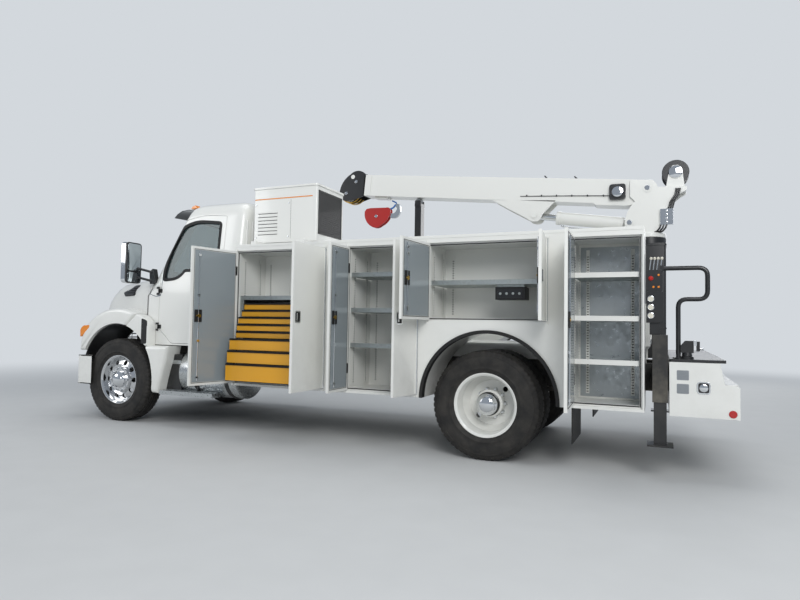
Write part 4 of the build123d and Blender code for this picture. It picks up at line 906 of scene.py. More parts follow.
# Service body: two rows of welded steel packs in white enamel, with a folded roof edge, rubber
# seals round the bays and slotted shelf tracks inside them.
for node in ("pack_left", "pack_right"):
    dressed(node, [white_enamel], 0.003)
for node in ("bed", "tailgate"):
    dressed(node, [white_enamel], 0.002)
galvanised = polished("galvanised_sheet", "#b4bab9", 0.4, grime_amount=0.25)
brushed_sheet = polished("brushed_sheet", "#a9aeb0", 0.36)
# Bay: front, rear and floor of its opening
bays = {"one": (2.84, 1.72, 0.60), "two": (1.43, 0.68, 0.60), "high": (0.55, -0.56, 1.32),
        "rear": (-0.80, -1.34, 0.60)}
bay_top = 2.02
leaf_hinge_y = 1.2263
back_sheet, track_face = 0.6815, 0.6855
cabinet_top = max(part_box(f"drawer_{number}")[1][2] for number in range(1, 9)) + 0.04
body = bmesh.new()
for side in (1, -1):
    box(body, (-1.375 if side > 0 else -1.17, side * 1.12, 2.1105), (2.875, side * 1.222, 2.1165))
    box(body, (-1.375 if side > 0 else -1.17, side * 1.2195, 2.088), (2.875, side * 1.2225, 2.1165))
for name, (front, rear, low) in bays.items():
    for side in (1, -1):
        if side < 0 and name == "rear":
            continue
        outer, inner = side * 1.1845, side * 1.188
        for a, b in (((rear - 0.012, low - 0.012), (rear - 0.002, bay_top + 0.012)),
                     ((front + 0.002, low - 0.012), (front + 0.012, bay_top + 0.012)),
                     ((rear, low - 0.012), (front, low - 0.002)),
                     ((rear, bay_top + 0.002), (front, bay_top + 0.012))):
            box(body, (a[0], outer, a[1]), (b[0], inner, b[1]), 1)
    low = cabinet_top if name == "one" else low
    box(body, (rear + 0.004, 0.6795, low + 0.004), (front - 0.004, back_sheet, bay_top - 0.004),
        2 if name == "rear" else 0)
    for x in (front - 0.07, rear + 0.07):
        box(body, (x - 0.016, back_sheet, low + 0.03), (x + 0.016, track_face, bay_top - 0.03))
    for wall in (front - 0.0005, rear + 0.0035):
        for y in (0.80, 1.08):
            box(body, (wall - 0.003, y - 0.016, low + 0.03), (wall, y + 0.016, bay_top - 0.03))
    # Each slot is a thin black patch in the black rubber finish: painted shade where the track's holes are.
    slot = bmesh.new()
    box(slot, (-0.009, 0, -0.004), (0.009, 0.0006, 0.004))
    rows = int((bay_top - low - 0.1) / 0.025)
    for x in (front - 0.07, rear + 0.07):
        repeated(f"track_slots_{name}_{'front' if x > (front + rear) / 2 else 'rear'}", slot.copy(), rows,
                 (x, track_face + 0.0001, low + 0.05), black_rubber_and_slot_shade, "truck",
                 step=(0, 0, 0.025))
    # The slots in the side walls' tracks are black patches too: painted shade where the holes are.
    side_slot = bmesh.new()
    box(side_slot, (0, -0.009, -0.004), (0.0006, 0.009, 0.004))
    for number, (x, y) in enumerate(((front - 0.0042, 0.80), (front - 0.0042, 1.08), (rear + 0.0036, 0.80),
                                     (rear + 0.0036, 1.08))):
        repeated(f"side_slots_{name}_{number}", side_slot.copy(), rows, (x, y, low + 0.05), black_rubber_and_slot_shade,
                 "truck", step=(0, 0, 0.025))
    slot.free()
    side_slot.free()
piece("body_trim", body, [white_enamel, black_rubber_and_slot_shade, brushed_sheet], "truck", 0.001)

# Doors: pressed pans with a grey enamelled lining, a full-height latch rod with its guides, and a
# brass latch in a black box. Each hangs on the hinge line of its bay.
lap, leaf_gap = 0.019, 0.006
pan_back, lining_back, seal_back = -0.0344, -0.0364, -0.0372
lining = enamel("door_lining", "#8f979a", 0.18, coat=0.6, dust=0.08)
brass = polished("brass", "#c9a24c", 0.25)
# Leaf: its bay, the end that its hinge is at, how many leaves the bay has, and its angle at rest
leaves = [("one", 1, 2, 104), ("one", -1, 2, 90), ("two", 1, 2, 90), ("two", -1, 2, 80), ("high", 1, 2, 95),
          ("high", -1, 2, 96), ("rear", 1, 1, 88)]
for side, side_name in sides:
    for number, (bay, end, count, rest_angle) in enumerate(leaves, start=1):
        if side < 0 and bay == "rear":
            continue
        front, rear, low = bays[bay]
        width = (front - rear + 2 * lap - (count - 1) * leaf_gap) / count
        low, high = low - lap, bay_top + lap
        swing = math.radians(rest_angle if side > 0 else 0)
        hinge_x = front + lap if end > 0 else rear - lap
        leaf = bmesh.new()
        box(leaf, (0.0, -0.0345, low), (width, -0.0075, high))
        box(leaf, (0.034, -0.0365, low + 0.035), (width - 0.034, pan_back, high - 0.035), 1)
        box(leaf, (0.0, -0.0078, low), (0.016, 0.0, high))
        tube(leaf, [(0, 0, low), (0, 0, high)], 0.0068, 3)
        for edge in (0.026, width - 0.030):
            box(leaf, (edge, seal_back, low + 0.026), (edge + 0.005, pan_back, high - 0.026), 2)
        for edge in (low + 0.026, high - 0.031):
            box(leaf, (0.026, seal_back, edge), (width - 0.026, pan_back, edge + 0.005), 2)
        rod_u = width - 0.085
        tube(leaf, [(rod_u, -0.0435, low + 0.05), (rod_u, -0.0435, high - 0.05)], 0.0055, 3)
        for guide_z in (low + 0.09, (low + high) / 2 - 0.26, (low + high) / 2 + 0.22, high - 0.09):
            box(leaf, (rod_u - 0.016, -0.051, guide_z - 0.012),
                (rod_u + 0.016, lining_back, guide_z + 0.012), 3)
        middle = min((low + high) / 2, 1.55) if bay != "high" else (low + high) / 2
        box(leaf, (rod_u - 0.042, -0.0475, middle - 0.065), (rod_u + 0.042, lining_back, middle + 0.065), 2)
        lathe(leaf, (rod_u - 0.012, -0.049, middle), [(0.021, 0.003), (0.019, -0.002), (0.0, -0.003)],
              "Y", 4, 24)
        box(leaf, (rod_u - 0.012, -0.0535, middle - 0.006), (rod_u + 0.03, -0.0475, middle + 0.006), 4)
        if bay in ("one", "two", "rear"):
            for hinge_z in (low + 0.22, high - 0.22):
                box(leaf, (0.004, -0.0385, hinge_z - 0.05), (0.024, pan_back, hinge_z + 0.05), 2)
        handle = rectangle(width - 0.135, middle - 0.06, width - 0.035, middle + 0.06)
        slab(leaf, softened(handle, 0.02), -0.0076, -0.0055, 3)
        slab(leaf, softened(grown(handle, -0.012), 0.012), -0.0058, -0.0035, 2)
        box(leaf, (width - 0.075, -0.0056, middle - 0.035), (width - 0.06, -0.001, middle + 0.035), 3)
        along = Vector((-end * math.cos(swing), side * math.sin(swing), 0))
        outward = Vector((end * math.sin(swing), side * math.cos(swing), 0))
        set_in_place = Matrix((along, outward, Vector((0, 0, 1)))).transposed().to_4x4()
        set_in_place.translation = Vector((hinge_x, side * leaf_hinge_y, 0))
        bmesh.ops.transform(leaf, matrix=set_in_place, verts=leaf.verts)
        bmesh.ops.recalc_face_normals(leaf, faces=leaf.faces)
        stand_in(f"door_{side_name}_{number}", leaf, [white_enamel, lining, black_rubber_and_slot_shade, chrome, brass],
                 0.0015)

# Shelves of galvanised sheet, and the drawer cabinet with its yellow fronts in black frames.


def shelf_finish(centre, normal):
    """White for the front edges of the rear bay's shelves, and galvanised for the rest."""
    return 1 if centre.x < -0.7 and centre.y > 1.1 else 0


dressed("shelves", [galvanised, white_enamel], 0.001, shelf_finish)
drawer_yellow = enamel("drawer_yellow", "#e0a11f", 0.32, coat=0.3, dust=0.0)
drawer_black = enamel("drawer_black", "#141414", 0.45, dust=0.0)
# Drawer: its lower edge, its front's height, and how far it stands out
for number, (low, height, out) in enumerate(((1.390, 0.074, -0.063), (1.312, 0.074, -0.021),
                                             (1.234, 0.074, 0.038), (1.156, 0.074, 0.057),
                                             (1.078, 0.074, 0.070), (0.950, 0.124, 0.176),
                                             (0.812, 0.134, 0.211), (0.624, 0.184, 0.231)), start=1):
    dressed(f"drawer_{number}", [drawer_black], 0.001)
    face_y = 1.219 + out
    front = bmesh.new()
    slab(front, softened(rectangle(1.958, low + 0.003, 2.777, low + height - 0.012), 0.004),
         face_y, face_y + 0.004)
    lip_low = low + height - 0.014
    for y, z, depth, rise in ((0.0, lip_low, 0.014, 0.004), (0.011, lip_low - 0.004, 0.003, 0.008),
                              (0.0, lip_low + 0.004, 0.003, 0.010)):
        box(front, (1.962, face_y + y, z), (2.773, face_y + y + depth, z + rise), 1)
    piece(f"drawer_front_{number}", front, [drawer_yellow, drawer_black], f"drawer_{number}_body",
          0.001)
gear = bmesh.new()
box(gear, (-0.36, 0.93, 1.50), (-0.08, 1.12, 1.618), 0)
box(gear, (-0.34, 1.12, 1.515), (-0.10, 1.128, 1.60), 1)
for x in (-0.31, -0.25, -0.19, -0.13):
    lathe(gear, (x, 1.128, 1.555), [(0.012, 0.0), (0.012, 0.008), (0.009, 0.012), (0.0, 0.012)], "Y", 2, 20)
box(gear, (-0.35, 0.95, 1.617), (-0.09, 1.10, 1.642), 2)
piece("high_bay_controls", gear, [drawer_black, black_enamel, galvanised], "truck", 0.003)
dressed("flares", [black_rubber_and_slot_shade], 0.004)

# Compressor: an enamelled cabinet on two rails, with an orange band, pressed louvres and a black
# pierced panel over the cooler at its rear.
case = bmesh.new()
case_edge = softened(rectangle(1.965, 0.395, 2.805, 0.995), 0.02)
for low, high, out in ((2.16, 2.78, 0.0), (2.776, 2.798, 0.012)):
    rings = [[case.verts.new((x, y, z)) for x, y in grown(case_edge, out)] for z in (low, high)]
    faces = [case.faces.new(rings[0]), case.faces.new(rings[1])] + skinned(case, rings)
    bmesh.ops.recalc_face_normals(case, faces=faces)
for x in (2.04, 2.65):
    box(case, (x, 0.39, 2.11), (x + 0.07, 1.15, 2.16))
box(case, (2.02, 0.9951, 2.655), (2.79, 0.9962, 2.667), 1)
box(case, (2.30, 0.9951, 2.20), (2.303, 0.9958, 2.64), 2)
for x, z in ((2.33, 2.60), (2.77, 2.60), (2.33, 2.22), (2.77, 2.22)):
    lathe(case, (x, 0.9952, z), [(0.008, 0.0), (0.008, 0.003), (0.0, 0.004)], "Y", 3, 12)
for louvre in range(7):
    z = 2.25 + louvre * 0.04
    slab(case, rectangle(2.48, z, 2.74, z + 0.006), 0.995, 0.997, 2)
    slab(case, [(2.475, z + 0.006), (2.745, z + 0.006), (2.74, z + 0.018), (2.48, z + 0.018)], 0.995, 1.003)
box(case, (1.9615, 0.45, 2.25), (1.9655, 0.95, 2.72), 2)
for a, b in (((0.44, 2.24), (0.46, 2.73)), ((0.94, 2.24), (0.96, 2.73)), ((0.44, 2.24), (0.96, 2.26)),
             ((0.44, 2.71), (0.96, 2.73))):
    box(case, (1.9585, a[0], a[1]), (1.9655, b[0], b[1]), 2)
tube(case, [(1.99, 0.55, 2.80), (1.99, 0.85, 2.80)], 0.010, 2)
orange_band = enamel("orange_band", "#e08a2e", 0.35, dust=0.0)
stand_in("compressor", case, [white_enamel, orange_band, drawer_black, chrome], 0.001)
cell = bmesh.new()
lathe(cell, (0, 0, 0), [(0.0098, 0.0), (0.0098, -0.0012), (0.0072, -0.0012), (0.0072, 0.0)], "X", segments=6)
for row in range(20):
    first_cell = (1.9612, 0.468 + (row % 2) * 0.0108, 2.278 + row * 0.0222)
    repeated(f"cooler_cells_{row}", cell.copy(), 22, first_cell, black_enamel, "truck",
             step=(0, 0.0216, 0))
cell.free()


# Bumpers: a pressed band wraps round the nose, and a work bench with louvres, a pull handle, a
# red reflector and a black deck stands across the rear, with the hitch plate in its middle.

band = traced([
    (5.11, -1.188), (5.30, -1.188), ((5.372, -1.163), (5.40, -1.10)), ((5.497, 0.0), (5.40, 1.10)),
    ((5.372, 1.163), (5.30, 1.188)), (5.11, 1.188),
])
bench_edge = [(-1.57, 0.54), (-1.57, 0.98), (-1.94, 0.98), (-1.975, 0.812), (-2.065, 0.805), (-2.08, 0.79),
              (-2.08, 0.54)]
bumpers = plan_slab(band + grown(band, -0.012)[::-1], 0.44, 0.80)
for low in (0.44, 0.788):
    added(bumpers, plan_slab(band + grown(band, -0.09)[::-1], low, low + 0.012))
for side in (1, -1):
    box(bumpers, (5.30, side * 0.35, 0.66), (5.43, side * 0.43, 0.78), 1)
    box(bumpers, (5.461, side * 0.30, 0.79), (5.489, side * 0.33, 0.825), 1)
    tube(bumpers, [(5.475, side * 0.282, 0.825), (5.475, side * 0.348, 0.825)], 0.008, 1)
    tube(bumpers, [(5.475, side * 0.30, 0.825), (5.475, side * 0.33, 0.825)], 0.014, 1, 20)
shell = carved(side_slab(bench_edge, -1.219, 1.219), side_slab([
    (-1.582, 0.50), (-1.582, 0.968), (-1.93, 0.968), (-1.965, 0.80), (-2.068, 0.793), (-2.068, 0.50)],
    -1.207, 1.207))
added(bumpers, shell)
plate = front_slab(rectangle(-0.08, 0.60, 0.08, 0.72), -2.0915, -2.066)
for y in (-0.04285, 0.04285):
    for z in (0.63775, 0.68225):
        turns = (math.pi * i / 12 for i in range(24))
        hole = [(y + 0.007 * math.cos(a), z + 0.007 * math.sin(a)) for a in turns]
        plate = carved(plate, front_slab(hole, -2.2, -2.0))
added(bumpers, coloured(plate, 1))
added(bumpers, plan_slab(softened([(-1.571, -1.217), (-1.571, 1.217), (-1.985, 1.217), (-1.985, -1.217)],
                                  0.02), 0.981, 1.005))
for face in bumpers.faces:
    if face.calc_center_median().x < -1.5 and face.calc_center_median().z > 0.9805:
        face.material_index = 1
for side in (1, -1):
    box(bumpers, (-1.571, side * 0.50, 0.69), (-1.556, side * 0.64, 0.89), 1)
    face_y = side * 1.2195
    for low in (0.835, 0.725):
        slab(bumpers, softened(rectangle(-1.715, low, -1.625, low + 0.08), 0.008),
             face_y - 0.002 * side, face_y + 0.001 * side, 2)
        for slat in range(6):
            box(bumpers, (-1.708, face_y + 0.0008 * side, low + 0.009 + slat * 0.012),
                (-1.632, face_y + 0.0035 * side, low + 0.013 + slat * 0.012), 2)
    frame_edge = softened(rectangle(-1.872, 0.729, -1.772, 0.829), 0.03, 6)
    slab(bumpers, frame_edge, face_y - 0.002 * side, face_y + 0.004 * side, 3)
    slab(bumpers, grown(frame_edge, -0.010), face_y + 0.0035 * side, face_y + 0.0048 * side, 1)
    lathe(bumpers, (-1.822, face_y + 0.0045 * side, 0.779),
          [(0.032, 0.0), (0.032, 0.003 * side), (0.026, 0.006 * side), (0.0, 0.006 * side)], "Y", 3, 32)
    lathe(bumpers, (-2.029, face_y, 0.583),
          [(0.030, -0.001 * side), (0.030, 0.003 * side), (0.026, 0.006 * side), (0.0, 0.007 * side)],
          "Y", 4, 32)
    box(bumpers, (-2.0795, side * 0.98, 0.60), (-2.0865, side * 1.12, 0.68), 4)
added(bumpers, plan_slab(softened([(-1.985, -1.21), (-1.985, 1.21), (-2.07, 1.21), (-2.07, -1.21)], 0.01),
                         0.8065, 0.812))
red_lens, tree, place, surface = new_finish("red_lens")
prisms = put(tree, "ShaderNodeTexVoronoi", {"Vector": place, "Scale": 260.0})
relief = put(tree, "ShaderNodeBump", {"Height": prisms.outputs["Distance"], "Strength": 0.3,
                                      "Distance": 0.001})
feed(tree, surface, {"Base Color": linear("#b01414"), "Roughness": 0.15, "Coat Weight": 0.6,
                     "Normal": relief.outputs[0]})
sheet_grey = enamel("louvre_grey", "#8b9094", 0.45, dust=0.1)
stand_in("bumpers", bumpers, [white_enamel, black_enamel, sheet_grey, chrome, red_lens], 0.003)

# Mast, boom post and rear work station: a black column with the slewing ring on top, the post
# with its roller, the operator's controls and the bent handrail with a vise beside it.
crane_x, crane_y = -1.385, -0.85


def square_column(half, low, high):
    """A square of rounded corners about the crane's axis, from one height to another."""
    edge = rectangle(crane_x - half, crane_y - half, crane_x + half, crane_y + half)
    return plan_slab(softened(edge, 0.03), low, high)


mast = square_column(0.18, 0.921, 2.22)
lathe(mast, (crane_x, crane_y, 0.0),
      [(0.0, 2.215), (0.185, 2.215), (0.185, 2.285), (0.178, 2.2895), (0.0, 2.2895)], "Z", 0, 64)
for z in (1.25, 2.19):
    added(mast, square_column(0.186, z, z + 0.016))
slab(mast, [(1.40, 2.111), (1.40, 2.17), (1.435, 2.31), (1.435, 2.885), (1.525, 2.885), (1.525, 2.31),
            (1.56, 2.17), (1.56, 2.111)], -0.91, -0.79)
for y in (-0.922, -0.798):
    slab(mast, [(1.435, 2.845), (1.44, 2.925), (1.52, 2.925), (1.525, 2.845)], y, y + 0.020)
lathe(mast, (1.48, -0.91, 2.923), [(0.0, 0.0), (0.028, 0.0), (0.032, 0.006), (0.032, 0.114), (0.028, 0.12),
                                   (0.0, 0.12)], "Y", 2, 32)
box(mast, (1.38, -0.94, 2.1105), (1.58, -0.76, 2.122))
lathe(mast, (1.48, -0.79, 2.35), [(0.018, 0.0), (0.022, 0.012), (0.022, 0.03), (0.014, 0.038), (0.0, 0.039)],
      "Y", 0, 24)
box(mast, (-1.528, 1.062, 1.30), (-1.394, 1.198, 1.56))
slab(mast, softened(rectangle(-1.52, 1.56, -1.402, 1.745), 0.012), 1.09, 1.188)
box(mast, (-1.50, 1.11, 1.20), (-1.42, 1.18, 1.30))
lathe(mast, (-1.43, 1.188, 1.672), [(0.020, 0.0), (0.020, 0.006), (0.016, 0.008), (0.016, 0.016),
                                    (0.012, 0.021), (0.0, 0.022)], "Y", 3, 24)
for x, z in ((-1.49, 1.60), (-1.45, 1.60), (-1.49, 1.70)):
    lathe(mast, (x, 1.188, z), [(0.009, 0.0), (0.009, 0.006), (0.0, 0.007)], "Y", 4, 16)
for z in (1.36, 1.43, 1.50):
    lathe(mast, (-1.43, 1.198, z), [(0.027, 0.0), (0.027, 0.012), (0.022, 0.014), (0.021, 0.010),
                                    (0.0, 0.010)], "Y", 1, 32)
    lathe(mast, (-1.43, 1.2085, z), [(0.021, 0.0), (0.0, 0.0015)], "Y", 5, 32)
for i in range(4):
    x = -1.505 + i * 0.028
    tube(mast, [(x, 1.14, 1.745), (x - 0.004, 1.14, 1.79), (x - 0.010, 1.14, 1.835)], 0.0045, 1, 8)
    lathe(mast, (x - 0.011, 1.14, 1.845), [(0.0, -0.014), (0.009, -0.010), (0.012, 0.0), (0.009, 0.010),
                                           (0.0, 0.013)], "Z", 5, 16)
# Softening rounds the rail's two ends as well, so those points give way to the ends themselves
rail_run = [(-1.64, 1.006), (-1.64, 1.50), (-1.86, 1.50), (-1.86, 1.76), (-1.515, 1.76)]
rail_points = rail_run[:1] + softened(rail_run, 0.07, 6)[7:-7] + rail_run[-1:]
tube(mast, [(x, 1.12, z) for x, z in rail_points], 0.019, 0, 20)
lathe(mast, (-1.64, 1.12, 1.0055), rectangle(0.0, 0.010, 0.045, 0.0), "Z", 0, 32)
box(mast, (-1.53, 1.095, 1.735), (-1.50, 1.145, 1.785))
lathe(mast, (-1.705, 1.12, 1.0055), [(0.052, 0.0), (0.052, 0.018), (0.040, 0.024), (0.036, 0.055),
                                     (0.0, 0.055)], "Z", 0, 32)
slab(mast, softened([(-1.755, 1.055), (-1.655, 1.055), (-1.655, 1.11), (-1.69, 1.155), (-1.755, 1.155)],
                    0.01), 1.09, 1.15)
box(mast, (-1.762, 1.075, 1.115), (-1.752, 1.165, 1.156), 1)
box(mast, (-1.776, 1.075, 1.115), (-1.766, 1.165, 1.156), 1)
box(mast, (-1.80, 1.095, 1.07), (-1.775, 1.145, 1.15))
tube(mast, [(-1.80, 1.12, 1.09), (-1.83, 1.12, 1.09)], 0.011, 1, 16)
tube(mast, [(-1.823, 1.07, 1.09), (-1.823, 1.17, 1.09)], 0.005, 1, 10)
red_button = enamel("red_button", "#b3170f", 0.3, dust=0.0)
pale_knob = enamel("pale_knob", "#d8d3c4", 0.4, dust=0.0)
stand_in("mast", mast, [black_enamel, chrome, sheet_grey, red_button, amber, pale_knob], 0.002)
for side_name in ("left", "right"):
    dressed(f"outrigger_{side_name}", [black_enamel], 0.002)

# Crane: two curved cheeks on a turned base carry the winch and the boom, a box beam in which a
# second box slides. The lift cylinder stands between the cheeks and a bracket under the boom.
boom_slope = math.radians(5.75)
boom_heel = (-1.373, 2.826)


def on_boom(points):
    """Side-view points told along and above the boom's own line, as places on the truck."""
    run, rise = math.cos(boom_slope), math.sin(boom_slope)
    return [(boom_heel[0] + u * run - w * rise, boom_heel[1] + u * rise + w * run) for u, w in points]


boom_low, boom_high, boom_end = -0.157, 0.131, 3.64
red_enamel = enamel("red_enamel", "#b01d17", 0.33, coat=0.3, dust=0.0)
strap_blue = enamel("strap_blue", "#1f67b5", 0.7, dust=0.0)
turret = bmesh.new()
cheek = [
    (-1.185, 2.955), ((-1.320, 2.893), (-1.494, 2.862)), (-1.780, 2.845), (-1.780, 2.812),
    ((-1.575, 2.625), (-1.486, 2.320)), (-1.230, 2.320), (-1.128, 2.410), (-1.135, 2.470),
    ((-1.165, 2.610), (-1.240, 2.710)), (-1.185, 2.770),
]
for y in (0.125, -0.145):
    slab(turret, cheek, crane_y + y, crane_y + y + 0.02)
lathe(turret, (crane_x, crane_y, 0.0), [(0.0, 2.2905), (0.176, 2.2905), (0.18, 2.296), (0.18, 2.336),
                                        (0.174, 2.342), (0.0, 2.342)], "Z", 0, 64)
slab(turret, [(-1.775, 2.822), (-1.775, 2.842), (-1.563, 2.856), (-1.563, 2.836)],
     crane_y - 0.125, crane_y + 0.125)
boom_pin, base_pin = (-1.37, 2.86), (-1.18, 2.47)
for pin_x, pin_z in (boom_pin, base_pin):
    lathe(turret, (pin_x, crane_y, pin_z), pin(0.030, 0.158, 0.003), "Y", 1, 32)
    for y in (0.145, -0.151):
        lathe(turret, (pin_x, crane_y + y, pin_z), disc(0.052, 0.006), "Y", 0, 32)
winch_x, winch_z = -1.665, 3.022
drum_end = [(0.0, -0.11), (0.136, -0.11), (0.142, -0.104), (0.142, -0.096)]
drum_coils = [(0.090 + 0.004 * (i % 2), -0.09 + 0.0075 * i) for i in range(25)]
drum = drum_end + [(0.088, -0.09)] + drum_coils + [(radius, -along) for radius, along in drum_end[::-1]]
lathe(turret, (winch_x, crane_y, winch_z), drum, "Y", 2, 48)
for y in (0.112, -0.124):
    slab(turret, softened([(-1.76, 2.838), (-1.74, 3.00), (-1.70, 3.10), (-1.63, 3.10), (-1.59, 3.00),
                           (-1.565, 2.850)], 0.02), crane_y + y, crane_y + y + 0.012)
    way = 1 if y > 0 else -1
    hub_y = crane_y + max(y, y + 0.012 * way)
    lathe(turret, (winch_x, hub_y, winch_z),
          [(0.075, 0.0), (0.070, 0.02 * way), (0.030, 0.03 * way), (0.0, 0.03 * way)], "Y", 1, 40)
box(turret, (-1.64, crane_y + 0.147, 2.42), (-1.505, crane_y + 0.185, 2.60), 1)
for i in range(4):
    lathe(turret, (-1.572, crane_y + 0.185, 2.447 + i * 0.042),
          [(0.014, 0.0), (0.014, 0.012), (0.009, 0.014), (0.009, 0.028), (0.0, 0.029)], "Y", 1, 16)
for i in range(3):
    bend = 0.030 * i
    tube(turret, [(-1.515 - i * 0.03, crane_y + 0.165, 2.43), (-1.50 - bend, crane_y + 0.172, 2.385),
                  (-1.47 - bend, crane_y + 0.165, 2.35), (-1.44 - bend, crane_y + 0.13, 2.343)], 0.010, 2, 10)
    tube(turret, [(-1.63 + i * 0.02, crane_y + 0.166, 2.598), (-1.65 + i * 0.02, crane_y + 0.17, 2.68),
                  (-1.70 + i * 0.02, crane_y + 0.165, 2.76), (-1.71 + i * 0.02, crane_y + 0.15, 2.83)],
         0.009, 2, 10)
stand_in("turret", turret, [white_enamel, chrome, black_enamel], 0.002)

boom = bmesh.new()
beam_edge = on_boom(traced([
    (boom_end, boom_low), (boom_end, boom_high), (-0.04, boom_high), ((-0.11, 0.0), (-0.04, boom_low + 0.04)),
    (0.216, boom_low - 0.02), (0.557, boom_low - 0.02), (0.585, boom_low)]))
slab(boom, beam_edge, crane_y - 0.12, crane_y + 0.12)
boom = carved(boom, side_slab(on_boom(rectangle(0.1, boom_low + 0.012, 3.8, boom_high - 0.012)),
                              crane_y - 0.108, crane_y + 0.108))
bracket = traced([(0.443, 2.845), (0.243, 2.722), (0.006, 2.588), ((-0.052, 2.55), (-0.117, 2.547)),
                  ((-0.157, 2.575), (-0.171, 2.617)), (-0.345, 2.79)])
for y in (0.10, -0.12):
    slab(boom, bracket, crane_y + y, crane_y + y + 0.02)
for y in (0.12, -0.132):
    lathe(boom, (-0.08, crane_y + y, 2.63), disc(0.042, 0.012), "Y", 0, 32)
added(boom, side_slab(on_boom(rectangle(boom_end - 0.34, boom_low - 0.025, boom_end - 0.14, boom_low)),
                      crane_y - 0.06, crane_y + 0.06))
for y in (0.12, -0.128):
    slab(boom, on_boom(rectangle(boom_end - 0.09, boom_low, boom_end, boom_high)),
         crane_y + y, crane_y + y + 0.008)
lamp_edge = softened(rectangle(-1.14, 2.745, -0.96, 2.925), 0.035, 6)
slab(boom, lamp_edge, crane_y + 0.1205, crane_y + 0.165, 2)
lathe(boom, (-1.05, crane_y + 0.165, 2.835), [(0.075, 0.0), (0.075, 0.008), (0.066, 0.012), (0.060, 0.006),
                                              (0.0, 0.004)], "Y", 2, 40)
lathe(boom, (-1.05, crane_y + 0.1715, 2.835), [(0.060, 0.0), (0.045, 0.003), (0.0, 0.005)], "Y", 1, 40)
tube(boom, [(-0.96, crane_y + 0.126, 2.80), (-0.5, crane_y + 0.125, 2.832), (0.0, crane_y + 0.124, 2.862),
            (0.09, crane_y + 0.122, 2.868)], 0.005, 2, 8)
for i in range(6):
    x = -0.9 + i * 0.18
    box(boom, (x, crane_y + 0.120, 2.795 + i * 0.0126), (x + 0.015, crane_y + 0.132, 2.817 + i * 0.0126), 2)
for x, top in ((-0.60, 3.035), (-0.24, 3.072)):
    tube(boom, [(x, crane_y - 0.05, top - 0.06), (x + 0.02, crane_y - 0.05, top + 0.02),
                (x + 0.05, crane_y, top + 0.055), (x + 0.02, crane_y + 0.05, top + 0.02),
                (x, crane_y + 0.05, top - 0.06)], 0.009, 2, 12)
stand_in("boom", boom, [white_enamel, chrome, black_enamel], 0.003)

head = bmesh.new()
slab(head, on_boom(rectangle(0.5, -0.129, boom_end + 0.04, 0.103)), crane_y - 0.095, crane_y + 0.095)
head_edge = on_boom(traced([
    (boom_end + 0.006, boom_low), (boom_end + 0.006, boom_high),
    ((boom_end + 0.13, boom_high + 0.06), (boom_end + 0.255, boom_high + 0.005)),
    ((boom_end + 0.35, boom_high - 0.09), (boom_end + 0.40, boom_low + 0.02)),
    ((boom_end + 0.36, boom_low - 0.055), (boom_end + 0.27, boom_low - 0.085)),
    (boom_end + 0.19, boom_low - 0.075)]))
for y in (0.092, -0.110):
    slab(head, head_edge, crane_y + y, crane_y + y + 0.018)
slab(head, on_boom(rectangle(boom_end + 0.006, boom_low, boom_end + 0.03, boom_high)),
     crane_y - 0.11, crane_y + 0.11)
for u, w in ((boom_end + 0.15, boom_high - 0.095), (boom_end + 0.29, boom_low + 0.025)):
    (x, z), = on_boom([(u, w)])
    lathe(head, (x, crane_y, z), [(0.0, -0.022), (0.095, -0.022), (0.095, -0.014), (0.080, -0.004),
                                  (0.080, 0.004), (0.095, 0.014), (0.095, 0.022), (0.0, 0.022)], "Y", 1, 40)
    lathe(head, (x, crane_y, z), [(0.0, -0.119), (0.020, -0.119), (0.022, -0.116), (0.022, 0.116),
                                  (0.020, 0.119), (0.0, 0.119)], "Y", 1, 24)
    for y in (0.110, -0.114):
        lathe(head, (x, crane_y + y, z), disc(0.034, 0.004), "Y", 0, 6)
(x, z), = on_boom([(boom_end + 0.21, boom_high - 0.03)])
lathe(head, (x, crane_y + 0.110, z), [(0.030, 0.0), (0.030, 0.003), (0.0, 0.004)], "Y", 2, 24)
guard = on_boom(traced([
    (boom_end + 0.10, boom_low - 0.03),
    ((boom_end + 0.24, boom_low - 0.10), (boom_end + 0.38, boom_low - 0.02))]))
for y in (-0.075, 0.0, 0.075):
    tube(head, [(x, crane_y + y, z) for x, z in guard], 0.007, 3, 10)
stand_in("boom_extension", head, [black_enamel, chrome, white_enamel, brass], 0.002)

lift_way = Vector((1.10, 0.0, 0.16)).normalized()
barrel = bmesh.new()
lathe(barrel, (0, 0, 0), [(0.0, 0.066), (0.070, 0.066), (0.076, 0.072), (0.076, 0.80), (0.083, 0.805),
                          (0.083, 0.845), (0.078, 0.85), (0.041, 0.85), (0.041, 0.80)], "X", 0, 48)
lathe(barrel, (0, 0, 0), pin(0.062, 0.060, 0.004), "Y", 0, 40)
box(barrel, (0.0, -0.045, -0.040), (0.08, 0.045, 0.040))
for x in (0.14, 0.77):
    lathe(barrel, (x, 0.0, -0.070), [(0.0, -0.03), (0.014, -0.03), (0.018, -0.022), (0.018, 0.0)], "Z", 1, 16)
tube(barrel, [(0.14, 0.0, -0.098), (0.20, 0.0, -0.104), (0.70, 0.0, -0.104), (0.765, 0.0, -0.098)],
     0.008, 1, 10)
rod = bmesh.new()
lathe(rod, (0, 0, 0), [(0.0, 0.24), (0.038, 0.24), (0.040, 0.244), (0.040, 1.06), (0.0, 1.06)], "X", 0, 40)
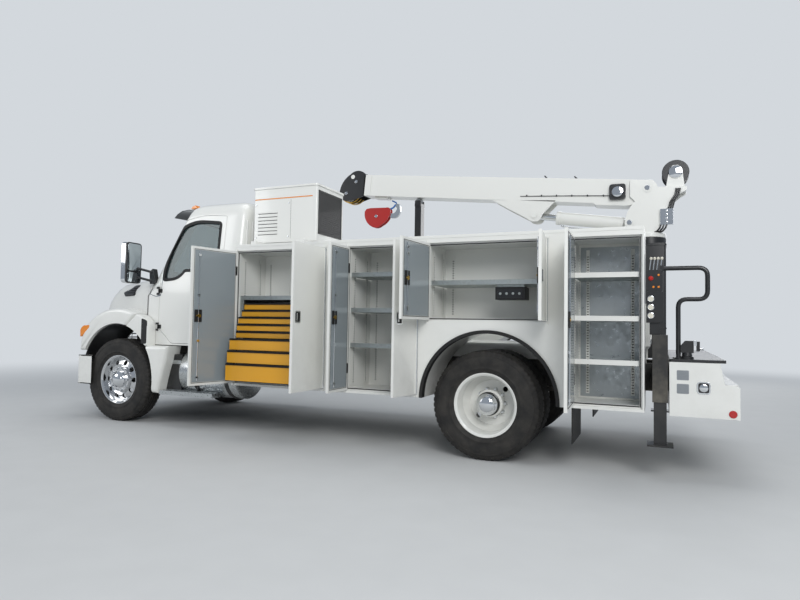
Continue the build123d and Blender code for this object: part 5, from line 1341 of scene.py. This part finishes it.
lathe(rod, (1.1116, 0, 0), pin(0.060, 0.050, 0.004), "Y", 1, 40)
for form in (barrel, rod):
    turn = Matrix((lift_way, Vector((0, 1, 0)), lift_way.cross(Vector((0, 1, 0))))).transposed().to_4x4()
    turn.translation = Vector((base_pin[0], crane_y, base_pin[1]))
    bmesh.ops.transform(form, matrix=turn, verts=form.verts)
stand_in("lift_cylinder", barrel, [white_enamel, chrome], 0.001)
stand_in("lift_rod", rod, [chrome, white_enamel], 0.0)

hook = bmesh.new()
hook_x, hook_z = 2.11, 2.75
for y in (0.020, -0.040):
    slab(hook, [(0.18, 0.08), ((0.165, -0.04), (0.07, -0.14)), ((0.0, -0.158), (-0.07, -0.13)),
                ((-0.19, -0.02), (-0.215, 0.06)), ((-0.2, 0.1), (-0.15, 0.112)), (0.09, 0.12), (0.15, 0.112)],
         crane_y + y, crane_y + y + 0.020, 0, (hook_x, hook_z))
slab(hook, [(-0.190, -0.020), ((-0.330, 0.0), (-0.350, 0.090)), ((-0.330, 0.150), (-0.280, 0.160)),
            (-0.275, 0.120), ((-0.300, 0.100), (-0.290, 0.070)), ((-0.270, 0.040), (-0.190, 0.060))],
     crane_y - 0.018, crane_y + 0.018, 1, (hook_x, hook_z))
lathe(hook, (hook_x, crane_y, hook_z), [(0.0, -0.018), (0.105, -0.018), (0.105, -0.012), (0.09, 0.0),
                                        (0.105, 0.012), (0.105, 0.018), (0.0, 0.018)], "Y", 1, 40)
lathe(hook, (hook_x, crane_y, hook_z), rectangle(0.0, -0.048, 0.022, 0.048), "Y", 1, 24)
(tie_x, tie_z), = on_boom([(boom_end - 0.36, boom_low - 0.02)])
tube(hook, [(1.80, crane_y, 2.86), (1.83, crane_y, 2.93), (tie_x - 0.02, crane_y, tie_z - 0.02)], 0.010, 2, 8)
tube(hook, [(1.83, crane_y + 0.012, 2.90), (1.86, crane_y + 0.014, 2.86), (1.94, crane_y + 0.01, 2.83),
            (2.02, crane_y, 2.855)], 0.012, 2, 8)
stand_in("hook_block", hook, [red_enamel, chrome, strap_blue], 0.002)
